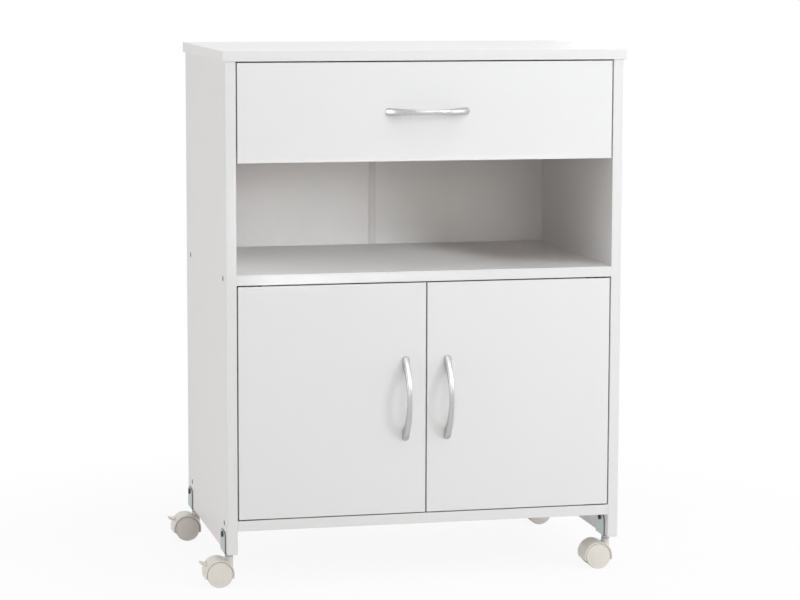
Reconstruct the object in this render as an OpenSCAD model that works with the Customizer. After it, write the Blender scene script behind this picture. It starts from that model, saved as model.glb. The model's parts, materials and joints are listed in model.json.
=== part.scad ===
// Printer cabinet on castors: a drawer over an open compartment over a two-door cupboard.
// Millimetres. +Z is up, -Y is the front, and z = 0 is the floor under the wheels.

/* [Carcass] */
// Width across the outer faces of the two side panels
body_w = 592; // [500:1:760]
// Depth of the side panels
body_d = 382; // [350:1:450]
// Height of the side panels
side_h = 715; // [690:1:800]
// Thickness of every melamine-faced board of the carcass, doors and drawer front
board_t = 15; // [15:0.5:18]
// How far the top reaches past each side panel
top_overhang_side = 4; // [2:0.5:8]
// How far the top reaches past the front plane
top_overhang_front = 2; // [0:0.5:6]
// Height of the bottom panel's underside above the lower edge of the side panels
bottom_under = 34.5; // [34.5:0.5:45]
// Height of the shelf's underside above the lower edge of the side panels
shelf_under = 394; // [380:1:410]
// Gap round each door and round the drawer front
front_gap = 2; // [2:0.1:2.5]

/* [Back] */
// Thickness of the hardboard back
back_t = 3; // [3:0.5:4]
// Distance from the groove for the back to the rear edge of the side panels
back_inset = 7; // [6:0.5:9]
// Depth of the groove for the back
groove_depth = 6; // [5:0.5:7]
// Width of the strip that joins the two halves of the back
strip_w = 11; // [9:0.5:16]
// Thickness of the joining strip's flanges and web
strip_t = 1; // [0.8:0.1:1.2]

/* [Drawer] */
// Height of the drawer front
drawer_front_h = 143; // [135:1:155]
// Thickness of the drawer's sides and back
drawer_side_t = 12; // [11:0.5:13]
// Height of the drawer's sides
drawer_side_h = 100; // [85:1:104]
// Height of the drawer sides' lower edge above the drawer front's lower edge
drawer_lift = 18; // [14:0.5:22]
// Free depth between the drawer's back and the cabinet's back
drawer_rear_room = 17; // [12:1:30]
// Thickness of the drawer's hardboard bottom
drawer_bottom_t = 3; // [3:0.5:4]
// Height of the drawer's bottom above the lower edge of its sides
drawer_bottom_lift = 10; // [8:0.5:14]
// Width of the space for a runner on each side of the drawer
runner_space = 12.5; // [12.5:0.1:13.5]

/* [Runners] */
// Height of the channel on the cabinet's side
channel_h = 22; // [21.5:0.1:23]
// Thickness of the runners' sheet steel
runner_t = 1.2; // [1:0.1:1.3]
// Diameter of the roller at the front of each cabinet runner
front_roller_d = 14; // [13:0.1:14.2]
// Diameter of the roller at the rear of each drawer runner
rear_roller_d = 18; // [17:0.1:18.2]
// Width of every roller
roller_w = 6; // [5:0.1:6.2]
// Diameter of the rollers' pins
roller_pin_d = 4; // [3.5:0.1:5]

/* [Doors] */
// Distance of a door's pivot from its front face and from its outer edge
pivot_inset = 5; // [5:0.1:5.5]
// Rounding of the doors' and the drawer front's upright front edges
edge_r = 1; // [1:0.1:1.5]
// Diameter of the pivot pins
pivot_pin_d = 4; // [3.5:0.1:4.5]
// Length of a pivot plate
pivot_plate_l = 36; // [30:1:50]
// Width of a pivot plate
pivot_plate_w = 10; // [9.5:0.5:11]
// Thickness of a pivot plate
pivot_plate_t = 1.5; // [1.2:0.1:2]
// Diameter of the bushes that the pivot pins turn in
bush_d = 7; // [6:0.1:7.5]
// Length of a bush below its flange
bush_l = 9; // [7:0.5:11]

/* [Handles] */
// Length of a bow handle
handle_l = 126; // [114:1:140]
// Reach of a handle from the face that it stands on
handle_reach = 30; // [24:0.5:36]
// Distance between a handle's screws
handle_pitch = 96; // [92:1:98]
// Width of a handle at its middle
handle_mid_w = 7; // [5:0.1:9]
// Width of a handle near its ends
handle_end_w = 11.4; // [10:0.1:14]
// Thickness of a handle at its middle
handle_mid_t = 5.5; // [4.5:0.1:7]
// Length of each foot of a handle
handle_foot_l = 18; // [16:0.5:22]
// Distance of a door handle from the middle of the cabinet
door_handle_offset = 31.5; // [26:0.5:60]

/* [Castors] */
// Height from the floor to the lower edge of the side panels
castor_h = 52; // [50:0.5:56]
// Distance of the front castors' stems from the front plane
stem_front = 36; // [32:0.5:50]
// Distance of the rear castors' stems from the side panels' rear edges
stem_rear = 25.5; // [24:0.5:50]
// Horizontal distance of a castor's axle behind its stem
trail = 16; // [15:0.5:18]
// Diameter of the wheels
wheel_d = 38; // [36:0.5:39]
// Width of one wheel
wheel_w = 11.6; // [10:0.1:12]
// Width across a castor's two wheels
castor_w = 39; // [38:0.5:42]
// Gap between a wheel's tread and the hood
hood_gap = 0.5; // [0.4:0.1:1.5]
// Thickness of a hood's wall
hood_t = 3; // [2.6:0.1:3.1]
// Diameter of the boss that takes the stem
boss_d = 12.6; // [12:0.1:13]
// Diameter of a castor's stem
stem_d = 8; // [7:0.1:9]
// Diameter of a castor's axle
axle_d = 5; // [4:0.1:6]
// Width of a brake lever's barrel
lever_w = 24; // [22:0.5:26]
// Width of the tab that presses a brake lever down
lever_tab_w = 16; // [12:0.5:20]
// How far a brake lever reaches from its pin
lever_l = 12; // [10:0.5:15]
// Width of the steel bracket that clasps the side panel
bracket_w = 40; // [34:0.5:46]
// Height of the bracket's ears
bracket_h = 30; // [26:0.5:33]
// Thickness of the bracket's steel
bracket_t = 1.8; // [1.5:0.1:2.5]
// Height of the ears' screws above the side panel's lower edge
bracket_screw_z = 24; // [18:0.5:24]

/* [Fixings] */
// Distance of the front side screws from the front plane
screw_front = 30; // [24:0.5:60]
// Distance of the rear side screws from the side panels' rear edges
screw_rear = 40; // [30:0.5:60]
// Diameter of the side screws' heads
screw_head_d = 8; // [7.5:0.1:10]
// Diameter of the side screws' shanks
screw_d = 5; // [4.5:0.1:6]
// Length of the side screws
screw_l = 50; // [40:1:60]
// Diameter of the cams that lock the joints
cam_d = 15; // [14:0.5:16]
// Depth of the cams in the side panels
cam_depth = 12.5; // [12:0.1:13]
// Distance of a cam's centre from the board that it pulls on
cam_reach = 24; // [22:0.5:34]
// Diameter of the cams' bolts
cam_bolt_d = 6; // [5:0.1:7]
// Diameter of the wooden dowels
dowel_d = 8; // [6:0.1:9]
// Length of the wooden dowels
dowel_l = 30; // [24:1:36]

/* [Hidden] */

// Fits and clearances
fit = 0.05;          // radial, round parts that turn or slide in a bore
seat = 0.1;          // per side, a part that is pushed into a hole, pocket or groove
near = 0.3;          // between parts that pass each other closely
lever_play = 0.4;    // between a brake lever's barrel and the wheels
bleed = 1;           // how far a cut runs past the face that it opens

// Brake levers at rest: the pin's place round the axle, the tab's direction and the nose's
lever_angle = 142;
lever_tab_angle = 164;
lever_nose_angle = 297;
lever_barrel_d = 3;
lever_nose_d = 1.2;
lever_nose_r = 1.2;
lever_pin_d = 1.6;
lever_tab_t = 2.4;
lever_pin_r = wheel_d / 2 + lever_barrel_d / 2 + lever_play;
lever_reach = trail + lever_pin_r * cos(180 - lever_angle) + lever_l * cos(180 - lever_tab_angle);

// Planes of the cabinet. The whole object, with its castors and handles, is centred on x = 0 and y = 0.
left_reach = lever_reach - board_t / 2;
left_x = -(left_reach + body_w + top_overhang_side) / 2 + left_reach;
right_x = left_x + body_w;
front_y = -(handle_reach + body_d) / 2 + handle_reach;
rear_y = front_y + body_d;
foot_z = castor_h;
head_z = foot_z + side_h;
inner_left = left_x + board_t;
inner_right = right_x - board_t;
mid_x = (left_x + right_x) / 2;
back_face = rear_y - back_inset - back_t;
shelf_back = back_face - strip_t - near;
bottom_z = foot_z + bottom_under;
shelf_z = foot_z + shelf_under;
behind_front = front_y + board_t;

// Doors
door_w = (inner_right - inner_left - 3 * front_gap) / 2;
door_z0 = bottom_z + board_t + front_gap;
door_z1 = shelf_z - front_gap;
left_door_x = inner_left + front_gap;
right_door_x = inner_right - front_gap - door_w;
pivot_y = front_y + pivot_inset;
door_mid_z = (door_z0 + door_z1) / 2;
bush_flange_d = 9;
bush_flange_t = front_gap - near;
plate_y = pivot_y - pivot_plate_w * 0.35;
pin_in_door = 9;
pin_bore = 10;
pin_in_bush = bush_l - 2;
pivot_screw_x = [14, 27];
pivot_screw_d = 3;
pivot_screw_head_d = 6;
pivot_screw_l = 16;
strike_l = 18;
strike_h = 16;
strike_t = 1.2;
strike_inset = 3;
strike_peg_d = 4;
strike_peg_l = 8;
catch_l = 46;
catch_h = 16;
catch_w = 14;
catch_y = behind_front + strike_t + near;
catch_peg_x = 19;
catch_peg_d = 5;
catch_peg_l = 8;
magnet_l = 14;
magnet_h = 5;
magnet_w = 8;
magnet_z = shelf_z - catch_h + 4;

// Drawer
drawer_z0 = head_z - front_gap - drawer_front_h;
drawer_z1 = head_z - front_gap;
box_left = inner_left + runner_space;
box_right = inner_right - runner_space;
box_rear = back_face - drawer_rear_room;
box_z = drawer_z0 + drawer_lift;
box_top = box_z + drawer_side_h;
box_bottom_z = box_z + drawer_bottom_lift;
box_groove = drawer_side_t / 2;
drawer_mid_z = (drawer_z0 + drawer_z1) / 2;
drawer_cam_depth = 9;
drawer_cam_d = 12;
drawer_cam_up = 32;
drawer_cam_down = 18;
drawer_cam_z = [box_z + drawer_cam_up, box_top - drawer_cam_down];
drawer_cam_reach = 18;
drawer_dowel_d = 6;
drawer_dowel_l = 24;
drawer_dowel_in_side = 8;
drawer_dowel_down = 20;
drawer_dowel_pitch = 40;
drawer_dowel_z = [box_top - drawer_dowel_down, box_top - drawer_dowel_down - drawer_dowel_pitch];
cam_bolt_grip = 9;
cam_slot_w = 1.6;
cam_slot_depth = 2;

// Runners. Heights are above the channel's underside, and u is the distance from the side panel.
runner_gap = 0.8;
channel_z = box_z - runner_t - runner_gap;
channel_w = runner_space - runner_t - runner_gap;
channel_y0 = behind_front + front_gap;
channel_y1 = box_rear + drawer_rear_room / 2;
roller_u = 2.4;
roller_inset = 12;
front_roller_y = channel_y0 + roller_inset;
front_roller_z = channel_z + runner_t + seat + front_roller_d / 2;
rear_roller_y = box_rear - roller_inset;
rear_roller_z = channel_z + runner_t + seat + rear_roller_d / 2;
flange_z = front_roller_z + front_roller_d / 2 + seat;
runner_screw_d = 3.5;
runner_screw_l = 12;
runner_screw_head_d = 7;
runner_screw_z = channel_z + channel_h / 2;
runner_screw_inset = 40;
runner_screw_pitch = 120;
runner_screw_y0 = channel_y0 + runner_screw_inset;
runner_screw_y = [runner_screw_y0, runner_screw_y0 + runner_screw_pitch, channel_y1 - runner_screw_inset];
drawer_runner_screw_l = 10;
drawer_runner_screw_up = 7;
drawer_runner_screw_z = box_z + drawer_runner_screw_up;
drawer_runner_screw_inset = 34;
drawer_runner_screw_pitch = 116;
drawer_runner_screw_y0 = channel_y0 + drawer_runner_screw_inset;
drawer_runner_screw_y = [drawer_runner_screw_y0, drawer_runner_screw_y0 + drawer_runner_screw_pitch,
    box_rear - drawer_runner_screw_inset];

// Handles
bow_rings = 40;
bow_sides = 16;
bow_power = 2.3;
bow_below = 8;
handle_screw_d = 4;
handle_screw_depth = 8;
handle_screw_head_d = 8.5;
handle_screw_head_t = 2.4;
handle_screw_at = [-handle_pitch / 2, handle_pitch / 2];

// Castors
wheel_r = wheel_d / 2;
stem_left_x = left_x + board_t / 2;
stem_right_x = right_x - board_t / 2;
stem_front_y = front_y + stem_front;
stem_rear_y = rear_y - stem_rear;
boss_top = castor_h - 9;
boss_end = 4;
collar_d = 12;
stem_depth = 18;
axle_grip = 0.01;
web_t = 4;
hood_r = wheel_r + hood_gap + hood_t;
hood_crown = 1;
hood_tip_angle = 15;
hub_d = 10;
wheel_rim_t = 3;
wheel_disc_t = 2.6;
wheel_dome = 0.8;
wheel_edge = 1.4;
wheel_groove = [2.6, 3, 3.4, 4];
wheel_groove_depth = 0.5;
wheel_face_r = 7.6;
axle_end = 3;
lever_slot_below = 1.2;
lever_pin_end = 2.5;
bracket_ear_r = 9;
bracket_screw_d = 4;
bracket_screw_l = 6.5;
bracket_screw_head_d = 8.4;
bracket_screw_head_t = 1.9;

// Fixing places
screw_ys = [front_y + screw_front, rear_y - screw_rear];
screw_zs = [bottom_z + board_t / 2, shelf_z + board_t / 2];
screw_head_l = 4;
socket_d = 4.6;
socket_depth = 2.5;
cam_inset = 44;
cam_ys = [front_y + cam_inset, rear_y - cam_inset];
dowel_inset = 76;
dowel_ys = [front_y + dowel_inset, rear_y - dowel_inset];
mid_y = (front_y + rear_y) / 2;
dowel_in_side = 10;
cam_z = head_z - cam_reach;

white = [0.93, 0.93, 0.94];
zinc = [0.72, 0.75, 0.74];
silver = [0.78, 0.78, 0.79];
ivory = [0.87, 0.85, 0.81];
nylon = [0.92, 0.92, 0.90];
beech = [0.80, 0.66, 0.46];
dark_steel = [0.25, 0.25, 0.27];

// A board between two opposite corners
module board(a, b) {
    translate(a)
        cube(b - a);
}

// Cylinders along X and Y that start at p and run l in the positive direction
module bar_x(p, d, l) {
    translate(p)
        rotate([0, 90, 0])
            cylinder(d = d, h = l, $fn = 48);
}

module bar_y(p, d, l) {
    translate(p)
        rotate([-90, 0, 0])
            cylinder(d = d, h = l, $fn = 48);
}

module bar_z(p, d, l) {
    translate(p)
        cylinder(d = d, h = l, $fn = 48);
}

// Mirrors a left-hand piece to the right-hand side of the cabinet
module to_right() {
    translate([mid_x, 0, 0])
        mirror([1, 0, 0])
            translate([-mid_x, 0, 0])
                children();
}

// Carcass

module top_panel() {
    color(white)
        difference() {
            board([left_x - top_overhang_side, front_y - top_overhang_front, head_z],
                  [right_x + top_overhang_side, rear_y, head_z + board_t]);
            board([inner_left - groove_depth, back_face - seat, head_z - bleed],
                  [inner_right + groove_depth, back_face + back_t + seat, head_z + groove_depth]);
            for (x = [stem_left_x, stem_right_x]) {
                for (y = cam_ys)
                    bar_z([x, y, head_z - bleed], cam_bolt_d + 2 * seat, cam_bolt_grip + 2 * bleed);
                for (y = dowel_ys)
                    bar_z([x, y, head_z - bleed], dowel_d + 2 * seat,
                          dowel_l - 2 * dowel_in_side + 2 * bleed);
            }
        }
}

module side_panel() {
    difference() {
        board([left_x, front_y, foot_z], [inner_left, rear_y, head_z]);
        board([inner_left - groove_depth, back_face - seat, bottom_z - seat],
              [inner_left + bleed, back_face + back_t + seat, head_z + bleed]);
        for (y = screw_ys, z = screw_zs) {
            bar_x([left_x - bleed, y, z], screw_d + 2 * seat, board_t + 2 * bleed);
            bar_x([left_x - bleed, y, z], screw_head_d + 2 * seat, screw_head_l + seat + bleed);
        }
        for (z = screw_zs)
            bar_x([inner_left - dowel_in_side - seat, mid_y, z], dowel_d + 2 * seat, dowel_in_side + bleed);
        for (y = cam_ys) {
            bar_x([inner_left - cam_depth - seat, y, cam_z], cam_d + 2 * seat, cam_depth + bleed);
            bar_z([stem_left_x, y, cam_z], cam_bolt_d + 2 * seat, cam_reach + bleed);
        }
        for (y = dowel_ys)
            bar_z([stem_left_x, y, head_z - 2 * dowel_in_side - seat], dowel_d + 2 * seat,
                  2 * dowel_in_side + bleed);
        for (y = runner_screw_y)
            bar_x([inner_left - runner_screw_l, y, runner_screw_z], runner_screw_d + 2 * seat,
                  runner_screw_l + bleed);
        for (y = [stem_front_y, stem_rear_y])
            bar_x([left_x - bleed, y, foot_z + bracket_screw_z], bracket_screw_d + 2 * seat,
                  board_t + 2 * bleed);
    }
}

module left_side_panel() {
    color(white)
        side_panel();
}

module right_side_panel() {
    color(white)
        to_right()
            side_panel();
}

// A board between the side panels, with bores for its screws and dowels
module cross_board(z) {
    difference() {
        board([inner_left, front_y, z], [inner_right, shelf_back, z + board_t]);
        for (y = screw_ys) {
            bar_x([inner_left - bleed, y, z + board_t / 2], screw_d + 2 * seat,
                  screw_l - board_t + 2 * bleed);
            bar_x([inner_right - screw_l + board_t - bleed, y, z + board_t / 2], screw_d + 2 * seat,
                  screw_l - board_t + 2 * bleed);
        }
        bar_x([inner_left - bleed, mid_y, z + board_t / 2], dowel_d + 2 * seat,
              dowel_l - dowel_in_side + 2 * bleed);
        bar_x([inner_right - dowel_l + dowel_in_side - bleed, mid_y, z + board_t / 2], dowel_d + 2 * seat,
              dowel_l - dowel_in_side + 2 * bleed);
    }
}

// Places children at the two door pivots
module at_pivots() {
    for (x = [left_door_x + pivot_inset, right_door_x + door_w - pivot_inset])
        translate([x, pivot_y, 0])
            children();
}

module fixed_shelf() {
    color(white)
        difference() {
            cross_board(shelf_z);
            at_pivots()
                bar_z([0, 0, shelf_z - bleed], bush_d + 2 * seat, bush_l + seat + bleed);
            for (x = [mid_x - catch_peg_x, mid_x + catch_peg_x])
                bar_z([x, catch_y + catch_w / 2, shelf_z - bleed], catch_peg_d + 2 * seat,
                      catch_peg_l + seat + bleed);
        }
}

module bottom_panel() {
    color(white)
        difference() {
            cross_board(bottom_z);
            at_pivots()
                bar_z([0, 0, bottom_z + board_t - bush_l - seat], bush_d + 2 * seat, bush_l + seat + bleed);
        }
}

module left_back_panel() {
    color(white)
        board([inner_left - groove_depth + near, back_face, bottom_z],
              [mid_x - strip_t / 2 - seat, back_face + back_t, head_z + groove_depth - near]);
}

module right_back_panel() {
    color(white)
        to_right()
            left_back_panel();
}

// H-section strip that holds the two halves of the back edge to edge
module back_joint_strip() {
    color(white)
        translate([mid_x, back_face, bottom_z])
            linear_extrude(head_z - bottom_z - seat) {
                translate([-strip_w / 2, -strip_t - seat])
                    square([strip_w, strip_t]);
                translate([-strip_w / 2, back_t + seat])
                    square([strip_w, strip_t]);
                translate([-strip_t / 2, -strip_t])
                    square([strip_t, back_t + 2 * strip_t]);
            }
}

// A side screw at the left side panel, with a hexagon socket in its head
module side_screw(y, z) {
    difference() {
        union() {
            bar_x([left_x, y, z], screw_head_d, screw_head_l);
            bar_x([left_x, y, z], screw_d, screw_l);
        }
        translate([left_x - bleed, y, z])
            rotate([0, 90, 0])
                cylinder(d = socket_d, h = socket_depth + bleed, $fn = 6);
    }
}

module side_screws() {
    color(dark_steel)
        for (y = screw_ys, z = screw_zs) {
            side_screw(y, z);
            to_right()
                side_screw(y, z);
        }
}

// Cross slot in the face of a cam of diameter d that looks to +X at p
module cross_slot(p, d) {
    half_l = d / 3;
    half_w = cam_slot_w / 2;
    translate(p) {
        board([-cam_slot_depth, -half_l, -half_w], [bleed, half_l, half_w]);
        board([-cam_slot_depth, -half_w, -half_l], [bleed, half_w, half_l]);
    }
}

// A cam with its cross slot and the opening that takes the bolt's head
module top_cam(y) {
    difference() {
        bar_x([inner_left - cam_depth, y, cam_z], cam_d, cam_depth);
        bar_z([stem_left_x, y, cam_z - cam_d / 4], cam_bolt_d + 2 * seat, cam_d);
        cross_slot([inner_left, y, cam_z], cam_d);
    }
}

module top_cams() {
    color(zinc)
        for (y = cam_ys) {
            top_cam(y);
            to_right()
                top_cam(y);
        }
}

module top_cam_bolts() {
    color(zinc)
        for (x = [stem_left_x, stem_right_x], y = cam_ys)
            bar_z([x, y, cam_z], cam_bolt_d, cam_reach + cam_bolt_grip);
}

module dowels() {
    color(beech) {
        for (x = [stem_left_x, stem_right_x], y = dowel_ys)
            bar_z([x, y, head_z - 2 * dowel_in_side], dowel_d, dowel_l);
        for (z = screw_zs) {
            bar_x([inner_left - dowel_in_side, mid_y, z], dowel_d, dowel_l);
            bar_x([inner_right + dowel_in_side - dowel_l, mid_y, z], dowel_d, dowel_l);
        }
    }
}

// Drawer runners

// Channel on the cabinet's left side, with the pin of its front roller
module cabinet_runner() {
    difference() {
        union() {
            board([inner_left, channel_y0, channel_z],
                  [inner_left + runner_t, channel_y1, channel_z + channel_h]);
            board([inner_left, channel_y0, channel_z],
                  [inner_left + channel_w, channel_y1, channel_z + runner_t]);
            board([inner_left, channel_y0, channel_z + channel_h - runner_t],
                  [inner_left + channel_w, channel_y1, channel_z + channel_h]);
            bar_x([inner_left, front_roller_y, front_roller_z], roller_pin_d, roller_u + roller_w + near);
        }
        for (y = runner_screw_y)
            translate([inner_left, y, runner_screw_z])
                rotate([0, 90, 0])
                    cylinder(d1 = runner_screw_d + 2 * seat, d2 = runner_screw_head_d + 2 * seat,
                             h = runner_t, $fn = 48);
    }
}

module left_cabinet_runner() {
    color(white)
        cabinet_runner();
}

module right_cabinet_runner() {
    color(white)
        to_right()
            cabinet_runner();
}

module runner_screw(y) {
    translate([inner_left, y, runner_screw_z])
        rotate([0, 90, 0])
            cylinder(d1 = runner_screw_d, d2 = runner_screw_head_d, h = runner_t, $fn = 48);
    bar_x([inner_left + runner_t / 2 - runner_screw_l, y, runner_screw_z], runner_screw_d, runner_screw_l);
}

module runner_screws() {
    color(zinc)
        for (y = runner_screw_y) {
            runner_screw(y);
            to_right()
                runner_screw(y);
        }
}

// A roller on the left, with its bore
module roller(y, z, d) {
    difference() {
        bar_x([inner_left + roller_u, y, z], d, roller_w);
        bar_x([inner_left, y, z], roller_pin_d + 2 * fit, runner_space);
    }
}

module cabinet_rollers() {
    color(nylon) {
        roller(front_roller_y, front_roller_z, front_roller_d);
        to_right()
            roller(front_roller_y, front_roller_z, front_roller_d);
    }
}

module drawer_rollers() {
    color(nylon) {
        roller(rear_roller_y, rear_roller_z, rear_roller_d);
        to_right()
            roller(rear_roller_y, rear_roller_z, rear_roller_d);
    }
}

// Angle under the drawer's left side, its running flange and the pin of its rear roller
module drawer_runner() {
    web_x = box_left - runner_t;
    flange_end = rear_roller_y - rear_roller_d / 2 - 2;
    board([web_x, channel_y0, box_z - runner_t], [box_left, box_rear, flange_z + runner_t]);
    board([web_x, channel_y0, box_z - runner_t], [box_left + drawer_side_t, box_rear, box_z]);
    board([inner_left + roller_u, channel_y0, flange_z], [box_left, flange_end, flange_z + runner_t]);
    bar_x([inner_left + roller_u - near, rear_roller_y, rear_roller_z], roller_pin_d,
          runner_space - roller_u + near - runner_t / 2);
}

// The angle with the countersunk bores of its screws
module bored_drawer_runner() {
    difference() {
        drawer_runner();
        for (y = drawer_runner_screw_y)
            translate([box_left, y, drawer_runner_screw_z])
                rotate([0, -90, 0])
                    cylinder(d1 = runner_screw_d + 2 * seat, d2 = runner_screw_head_d + 2 * seat,
                             h = runner_t, $fn = 48);
    }
}

// Countersunk screw from the left through the angle into the drawer's side
module drawer_runner_screw(y) {
    translate([box_left, y, drawer_runner_screw_z])
        rotate([0, -90, 0])
            cylinder(d1 = runner_screw_d, d2 = runner_screw_head_d, h = runner_t, $fn = 48);
    bar_x([box_left - runner_t / 2, y, drawer_runner_screw_z], runner_screw_d, drawer_runner_screw_l);
}

module drawer_runner_screws() {
    color(zinc)
        for (y = drawer_runner_screw_y) {
            drawer_runner_screw(y);
            to_right()
                drawer_runner_screw(y);
        }
}

module left_drawer_runner() {
    color(white)
        bored_drawer_runner();
}

module right_drawer_runner() {
    color(white)
        to_right()
            bored_drawer_runner();
}

// Drawer

// Plan of a front board whose upright front edges are rounded
module front_plan(w) {
    translate([0, edge_r])
        square([w, board_t - edge_r]);
    translate([edge_r, 0])
        square([w - 2 * edge_r, board_t]);
    for (x = [edge_r, w - edge_r])
        translate([x, edge_r])
            circle(r = edge_r, $fn = 32);
}

module drawer_front() {
    color(white)
        difference() {
            translate([inner_left + front_gap, front_y, drawer_z0])
                linear_extrude(drawer_front_h)
                    front_plan(inner_right - inner_left - 2 * front_gap);
            board([box_left + drawer_side_t - box_groove, behind_front - box_groove, box_bottom_z - seat],
                  [box_right - drawer_side_t + box_groove, behind_front + bleed,
                   box_bottom_z + drawer_bottom_t + seat]);
            for (x = [box_left + drawer_side_t / 2, box_right - drawer_side_t / 2], z = drawer_cam_z)
                bar_y([x, behind_front - cam_bolt_grip - seat, z], cam_bolt_d + 2 * seat,
                      cam_bolt_grip + bleed);
            for (x = handle_screw_at)
                bar_y([mid_x + x, front_y - bleed, drawer_mid_z], handle_screw_d + 2 * seat,
                      board_t + 2 * bleed);
        }
}

module drawer_side() {
    cam_x = box_left + drawer_side_t;
    difference() {
        board([box_left, behind_front, box_z], [cam_x, box_rear, box_top]);
        board([cam_x - box_groove, behind_front - bleed, box_bottom_z - seat],
              [cam_x + bleed, box_rear + bleed, box_bottom_z + drawer_bottom_t + seat]);
        for (z = drawer_cam_z) {
            bar_x([cam_x - drawer_cam_depth, behind_front + drawer_cam_reach, z],
                  drawer_cam_d + 2 * seat, drawer_cam_depth + bleed);
            bar_y([cam_x - drawer_side_t / 2, behind_front - bleed, z], cam_bolt_d + 2 * seat,
                  drawer_cam_reach + bleed);
        }
        for (z = drawer_dowel_z)
            bar_x([cam_x - drawer_dowel_in_side - seat, box_rear - drawer_side_t / 2, z],
                  drawer_dowel_d + 2 * seat, drawer_dowel_in_side + seat + bleed);
        for (y = drawer_runner_screw_y)
            bar_x([box_left - bleed, y, drawer_runner_screw_z], runner_screw_d + 2 * seat,
                  drawer_runner_screw_l + bleed);
    }
}

module drawer_left_side() {
    color(white)
        drawer_side();
}

module drawer_right_side() {
    color(white)
        to_right()
            drawer_side();
}

// Bore of a dowel in the left end of the drawer's back
module back_bore(z) {
    bar_x([box_left + drawer_side_t - bleed, box_rear - drawer_side_t / 2, z], drawer_dowel_d + 2 * seat,
          drawer_dowel_l - drawer_dowel_in_side + seat + bleed);
}

module drawer_back() {
    color(white)
        difference() {
            board([box_left + drawer_side_t, box_rear - drawer_side_t,
                   box_bottom_z + drawer_bottom_t + seat],
                  [box_right - drawer_side_t, box_rear, box_top]);
            for (z = drawer_dowel_z) {
                back_bore(z);
                to_right()
                    back_bore(z);
            }
        }
}

module drawer_dowel(z) {
    bar_x([box_left + drawer_side_t - drawer_dowel_in_side, box_rear - drawer_side_t / 2, z],
          drawer_dowel_d, drawer_dowel_l);
}

module drawer_dowels() {
    color(beech)
        for (z = drawer_dowel_z) {
            drawer_dowel(z);
            to_right()
                drawer_dowel(z);
        }
}

module drawer_bottom() {
    color(white)
        board([box_left + drawer_side_t - box_groove + near, behind_front - box_groove + near,
               box_bottom_z],
              [box_right - drawer_side_t + box_groove - near, box_rear, box_bottom_z + drawer_bottom_t]);
}

module drawer_cam(z) {
    cam_x = box_left + drawer_side_t;
    cam_y = behind_front + drawer_cam_reach;
    difference() {
        bar_x([cam_x - drawer_cam_depth + seat, cam_y, z], drawer_cam_d, drawer_cam_depth - seat);
        bar_y([cam_x - drawer_side_t / 2, cam_y - drawer_cam_d, z], cam_bolt_d + 2 * seat,
              drawer_cam_d * 5 / 4);
        cross_slot([cam_x, cam_y, z], drawer_cam_d);
    }
}

module drawer_cams() {
    color(zinc)
        for (z = drawer_cam_z) {
            drawer_cam(z);
            to_right()
                drawer_cam(z);
        }
}

module drawer_cam_bolts() {
    color(zinc)
        for (x = [box_left + drawer_side_t / 2, box_right - drawer_side_t / 2], z = drawer_cam_z)
            bar_y([x, behind_front - cam_bolt_grip, z], cam_bolt_d, cam_bolt_grip + drawer_cam_reach);
}

// Bow handle, along X, standing on the plane y = 0 and reaching to -Y

// Height of a circular arc of half chord a and rise h, at distance x from its middle
function arc_r(a, h) = (a * a + h * h) / (2 * h);
function arc_at(x, a, h) =
    let (r = arc_r(a, h))
    x * x < r * r ? sqrt(r * r - x * x) - r + h : -r;
function sgn_pow(v, n) = sign(v) * pow(abs(v), n);

// One section of the bow: a superellipse between the outer and the inner arc
function bow_section(x) =
    let (half = handle_l / 2)
    let (outer = arc_at(x, half, handle_reach))
    let (inner = max(-bow_below, arc_at(x, half - handle_foot_l, handle_reach - handle_mid_t)))
    let (grow = pow(abs(x) / half, 1.5))
    let (w = handle_mid_w + (handle_end_w - handle_mid_w) * grow)
    [for (i = [0:bow_sides - 1])
        let (a = 360 * i / bow_sides)
        [x,
         -(outer + inner) / 2 - (outer - inner) / 2 * sgn_pow(cos(a), 2 / bow_power),
         w / 2 * sgn_pow(sin(a), 2 / bow_power)]];

module bow_handle() {
    points = [for (k = [0:bow_rings]) each bow_section(handle_l / 2 * sin(-90 + 180 * k / bow_rings))];
    skin = [for (k = [0:bow_rings - 1], i = [0:bow_sides - 1])
        let (j = (i + 1) % bow_sides)
        each [[k * bow_sides + i, k * bow_sides + j, (k + 1) * bow_sides + j],
              [k * bow_sides + i, (k + 1) * bow_sides + j, (k + 1) * bow_sides + i]]];
    start = [[for (i = [bow_sides - 1:-1:0]) i]];
    end = [[for (i = [0:bow_sides - 1]) bow_rings * bow_sides + i]];
    difference() {
        polyhedron(points = points, faces = concat(skin, start, end), convexity = 4);
        board([-handle_l, 0, -handle_end_w], [handle_l, bow_below + bleed, handle_end_w]);
        for (x = handle_screw_at)
            bar_y([x, -handle_screw_depth - seat, 0], handle_screw_d + 2 * seat,
                  handle_screw_depth + seat + bleed);
    }
}

// The two screws of a handle, from behind the front board into its feet
module bow_screws() {
    for (x = handle_screw_at) {
        bar_y([x, -handle_screw_depth, 0], handle_screw_d,
              handle_screw_depth + board_t + handle_screw_head_t / 2);
        bar_y([x, board_t, 0], handle_screw_head_d, handle_screw_head_t);
    }
}

module at_drawer_handle() {
    translate([mid_x, front_y, drawer_mid_z])
        children();
}

module at_left_handle() {
    translate([mid_x - door_handle_offset, front_y, door_mid_z])
        rotate([0, 90, 0])
            children();
}

module drawer_handle() {
    color(silver)
        at_drawer_handle()
            bow_handle();
}

module drawer_handle_screws() {
    color(zinc)
        at_drawer_handle()
            bow_screws();
}

module left_door_handle() {
    color(silver)
        at_left_handle()
            bow_handle();
}

module right_door_handle() {
    color(silver)
        to_right()
            at_left_handle()
                bow_handle();
}

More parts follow.
